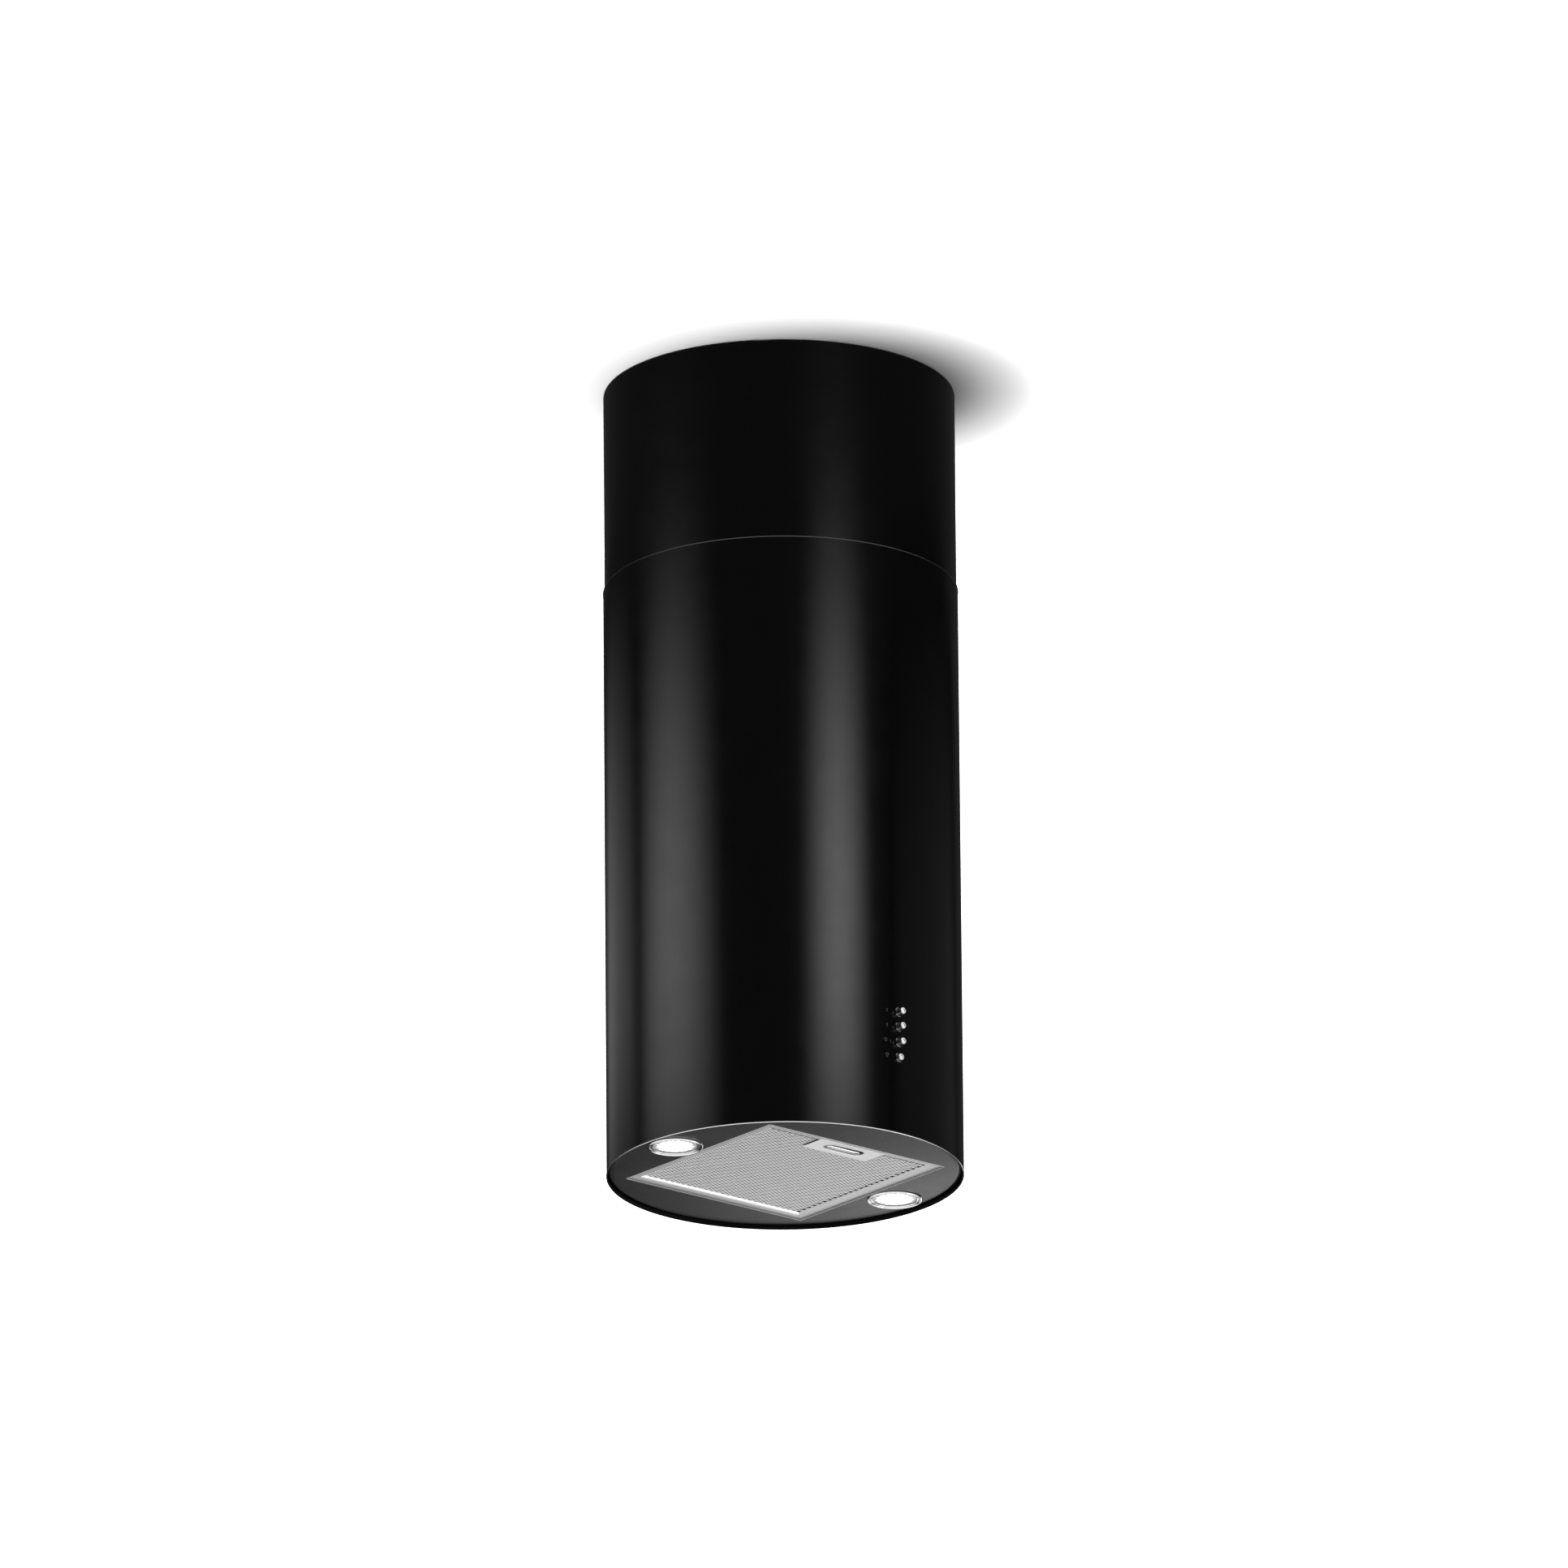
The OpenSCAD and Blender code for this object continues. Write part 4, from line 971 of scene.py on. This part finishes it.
def around(offset_deg, distance, z):
    """A place at an azimuth counted from the camera's, to the right, and a height."""
    flat = towards(VIEW_AZ + math.radians(offset_deg), 0) * distance
    return Vector((flat.x, flat.y, z))


def make_ceiling():
    """The ceiling around the hood takes its shadow, and glows white further out."""
    disc = stage_disc("ceiling", 7.0, 1.5 * MM, False, (0.3, 0.3, 0.3))
    tree = disc.data.materials[0].node_tree
    shader = tree.nodes["Principled BSDF"]
    length = tree.nodes.new("ShaderNodeVectorMath")
    length.operation = "LENGTH"
    tree.links.new(object_coordinates(tree), length.inputs[0])
    glow = add_node(tree, "ShaderNodeMapRange", From_Min=0.27, From_Max=0.5, To_Min=0.0, To_Max=1.0)
    glow.interpolation_type = "SMOOTHSTEP"
    tree.links.new(length.outputs["Value"], glow.inputs["Value"])
    tree.links.new(glow.outputs["Result"], shader.inputs["Emission Strength"])
    return disc


def area_light(name, place, aim, size, energy, lit):
    """A round studio lamp that lights only the objects in lit, while everything casts shadows."""
    light = bpy.data.lights.new(name, "AREA")
    light.shape = "DISK"
    light.size = size
    light.energy = energy
    lamp = bpy.data.objects.new(name, light)
    bpy.context.scene.collection.objects.link(lamp)
    lamp.location = place
    lamp.rotation_euler = (Vector(aim) - Vector(place)).to_track_quat("-Z", "Y").to_euler()
    lamp.visible_camera = False
    group = bpy.data.collections.new(name + "_lit")
    for obj in lit:
        group.objects.link(obj)
    lamp.light_linking.receiver_collection = group
    return lamp


def make_world(scene):
    """White to the camera; to the hood a bright floor side, a dark horizon and a bright zenith."""
    world = bpy.data.worlds.new("studio")
    world.use_nodes = True
    scene.world = world
    tree = world.node_tree
    tree.nodes.clear()
    seen = add_node(tree, "ShaderNodeBackground", Color=(1, 1, 1, 1), Strength=1.0)
    room = add_node(tree, "ShaderNodeBackground", Color=(1, 1, 1, 1))
    coords = tree.nodes.new("ShaderNodeTexCoord")
    parts = tree.nodes.new("ShaderNodeSeparateXYZ")
    tree.links.new(coords.outputs["Generated"], parts.inputs["Vector"])
    upper = add_node(tree, "ShaderNodeMapRange", From_Min=0.55, From_Max=0.9, To_Min=0.04, To_Max=1.2)
    lower = add_node(tree, "ShaderNodeMapRange", From_Min=-0.38, From_Max=-0.62, To_Min=0.0, To_Max=1.0)
    for step in (upper, lower):
        step.interpolation_type = "SMOOTHSTEP"
        tree.links.new(parts.outputs["Z"], step.inputs["Value"])
    both = math_node(tree, "ADD", upper.outputs["Result"], lower.outputs["Result"])
    tree.links.new(both, room.inputs["Strength"])
    path = tree.nodes.new("ShaderNodeLightPath")
    mix = tree.nodes.new("ShaderNodeMixShader")
    tree.links.new(path.outputs["Is Camera Ray"], mix.inputs["Fac"])
    tree.links.new(room.outputs["Background"], mix.inputs[1])
    tree.links.new(seen.outputs["Background"], mix.inputs[2])
    output = tree.nodes.new("ShaderNodeOutputWorld")
    tree.links.new(mix.outputs["Shader"], output.inputs["Surface"])


def make_stage():
    scene = bpy.context.scene
    scene.view_settings.view_transform = "Standard"
    ceiling = make_ceiling()
    stage_disc("floor", 5.0, -2.0, True, (0.85, 0.85, 0.84), glow=0.3)
    tall = 1.02
    middle = -0.05
    rise, fall = 0.34, 0.6
    softbox("box_left", around(-71, 2.0, middle), (0, 0, middle), 2.9, tall, 2.15, (0.5, 0.5),
            (rise, fall))
    softbox("box_right", around(34, 2.0, middle), (0, 0, middle), 1.84, tall, 3.2, (0.5, 0.5),
            (rise, fall))
    softbox("box_left_back", around(-130, 2.0, middle), (0, 0, middle), 2.3, tall, 0.42,
            (0.3, 0.3), (0.4, fall))
    softbox("box_low_right", around(126, 1.1, -2.4), (0, 0, -1.0), 0.6, 0.6, 5.0, (0.3, 0.3), (0.3, 0.3))
    behind = towards(VIEW_AZ + math.pi, 0)
    aside = view_right * 0.15 + Vector((0, 0, -0.99))
    softbox("box_panel", aside + behind * 0.5 - Vector((0, 0, 0.11)), aside, 0.9, 0.16, 1.3,
            (0.75, 0.05), (0.3, 0.3))
    softbox("box_right_back", around(106, 2.0, middle), (0, 0, middle), 3.2, tall, 0.09, (0.2, 0.2),
            (0.2, fall))

    far_below = -view_right * 0.5 + behind * 0.22 + Vector((0, 0, -12.0))
    area_light("key_low", far_below, (0, 0, 0), 1.6, 4600, [ceiling]).visible_glossy = False
    rear_slope = Vector((0, FIELD_HALF, FILTER_Z))
    facing = Vector((0, -RAIL_RISE, -RAIL_SLOPE)).normalized()
    camera_way = towards(VIEW_AZ, VIEW_EL)
    mirrored_view = 2 * facing.dot(camera_way) * facing - camera_way
    area_light("key_rail", rear_slope + mirrored_view * 2.0, rear_slope, 0.5, 7.0,
               [bpy.data.objects["filter_border"]])
    pins = [obj for obj in bpy.data.objects if obj.name.endswith("_pin")]
    area_light("key_buttons", around(79, 2.0, -0.2), (0, -TUBE_R, -0.87), 1.1, 3.6, pins)
    make_world(scene)


# ---------------------------------------------------------------- assembly
make_camera()
finish_cad_nodes()
make_tube_hems()
make_panel()
make_border()
make_expanded_faces()
make_layers()
make_latch()
for lamp_name, lamp_side in LAMP_SIDES.items():
    make_lamp(lamp_name, lamp_side)
for button_name in BUTTONS:
    make_button(button_name)
make_marks()
make_stage()
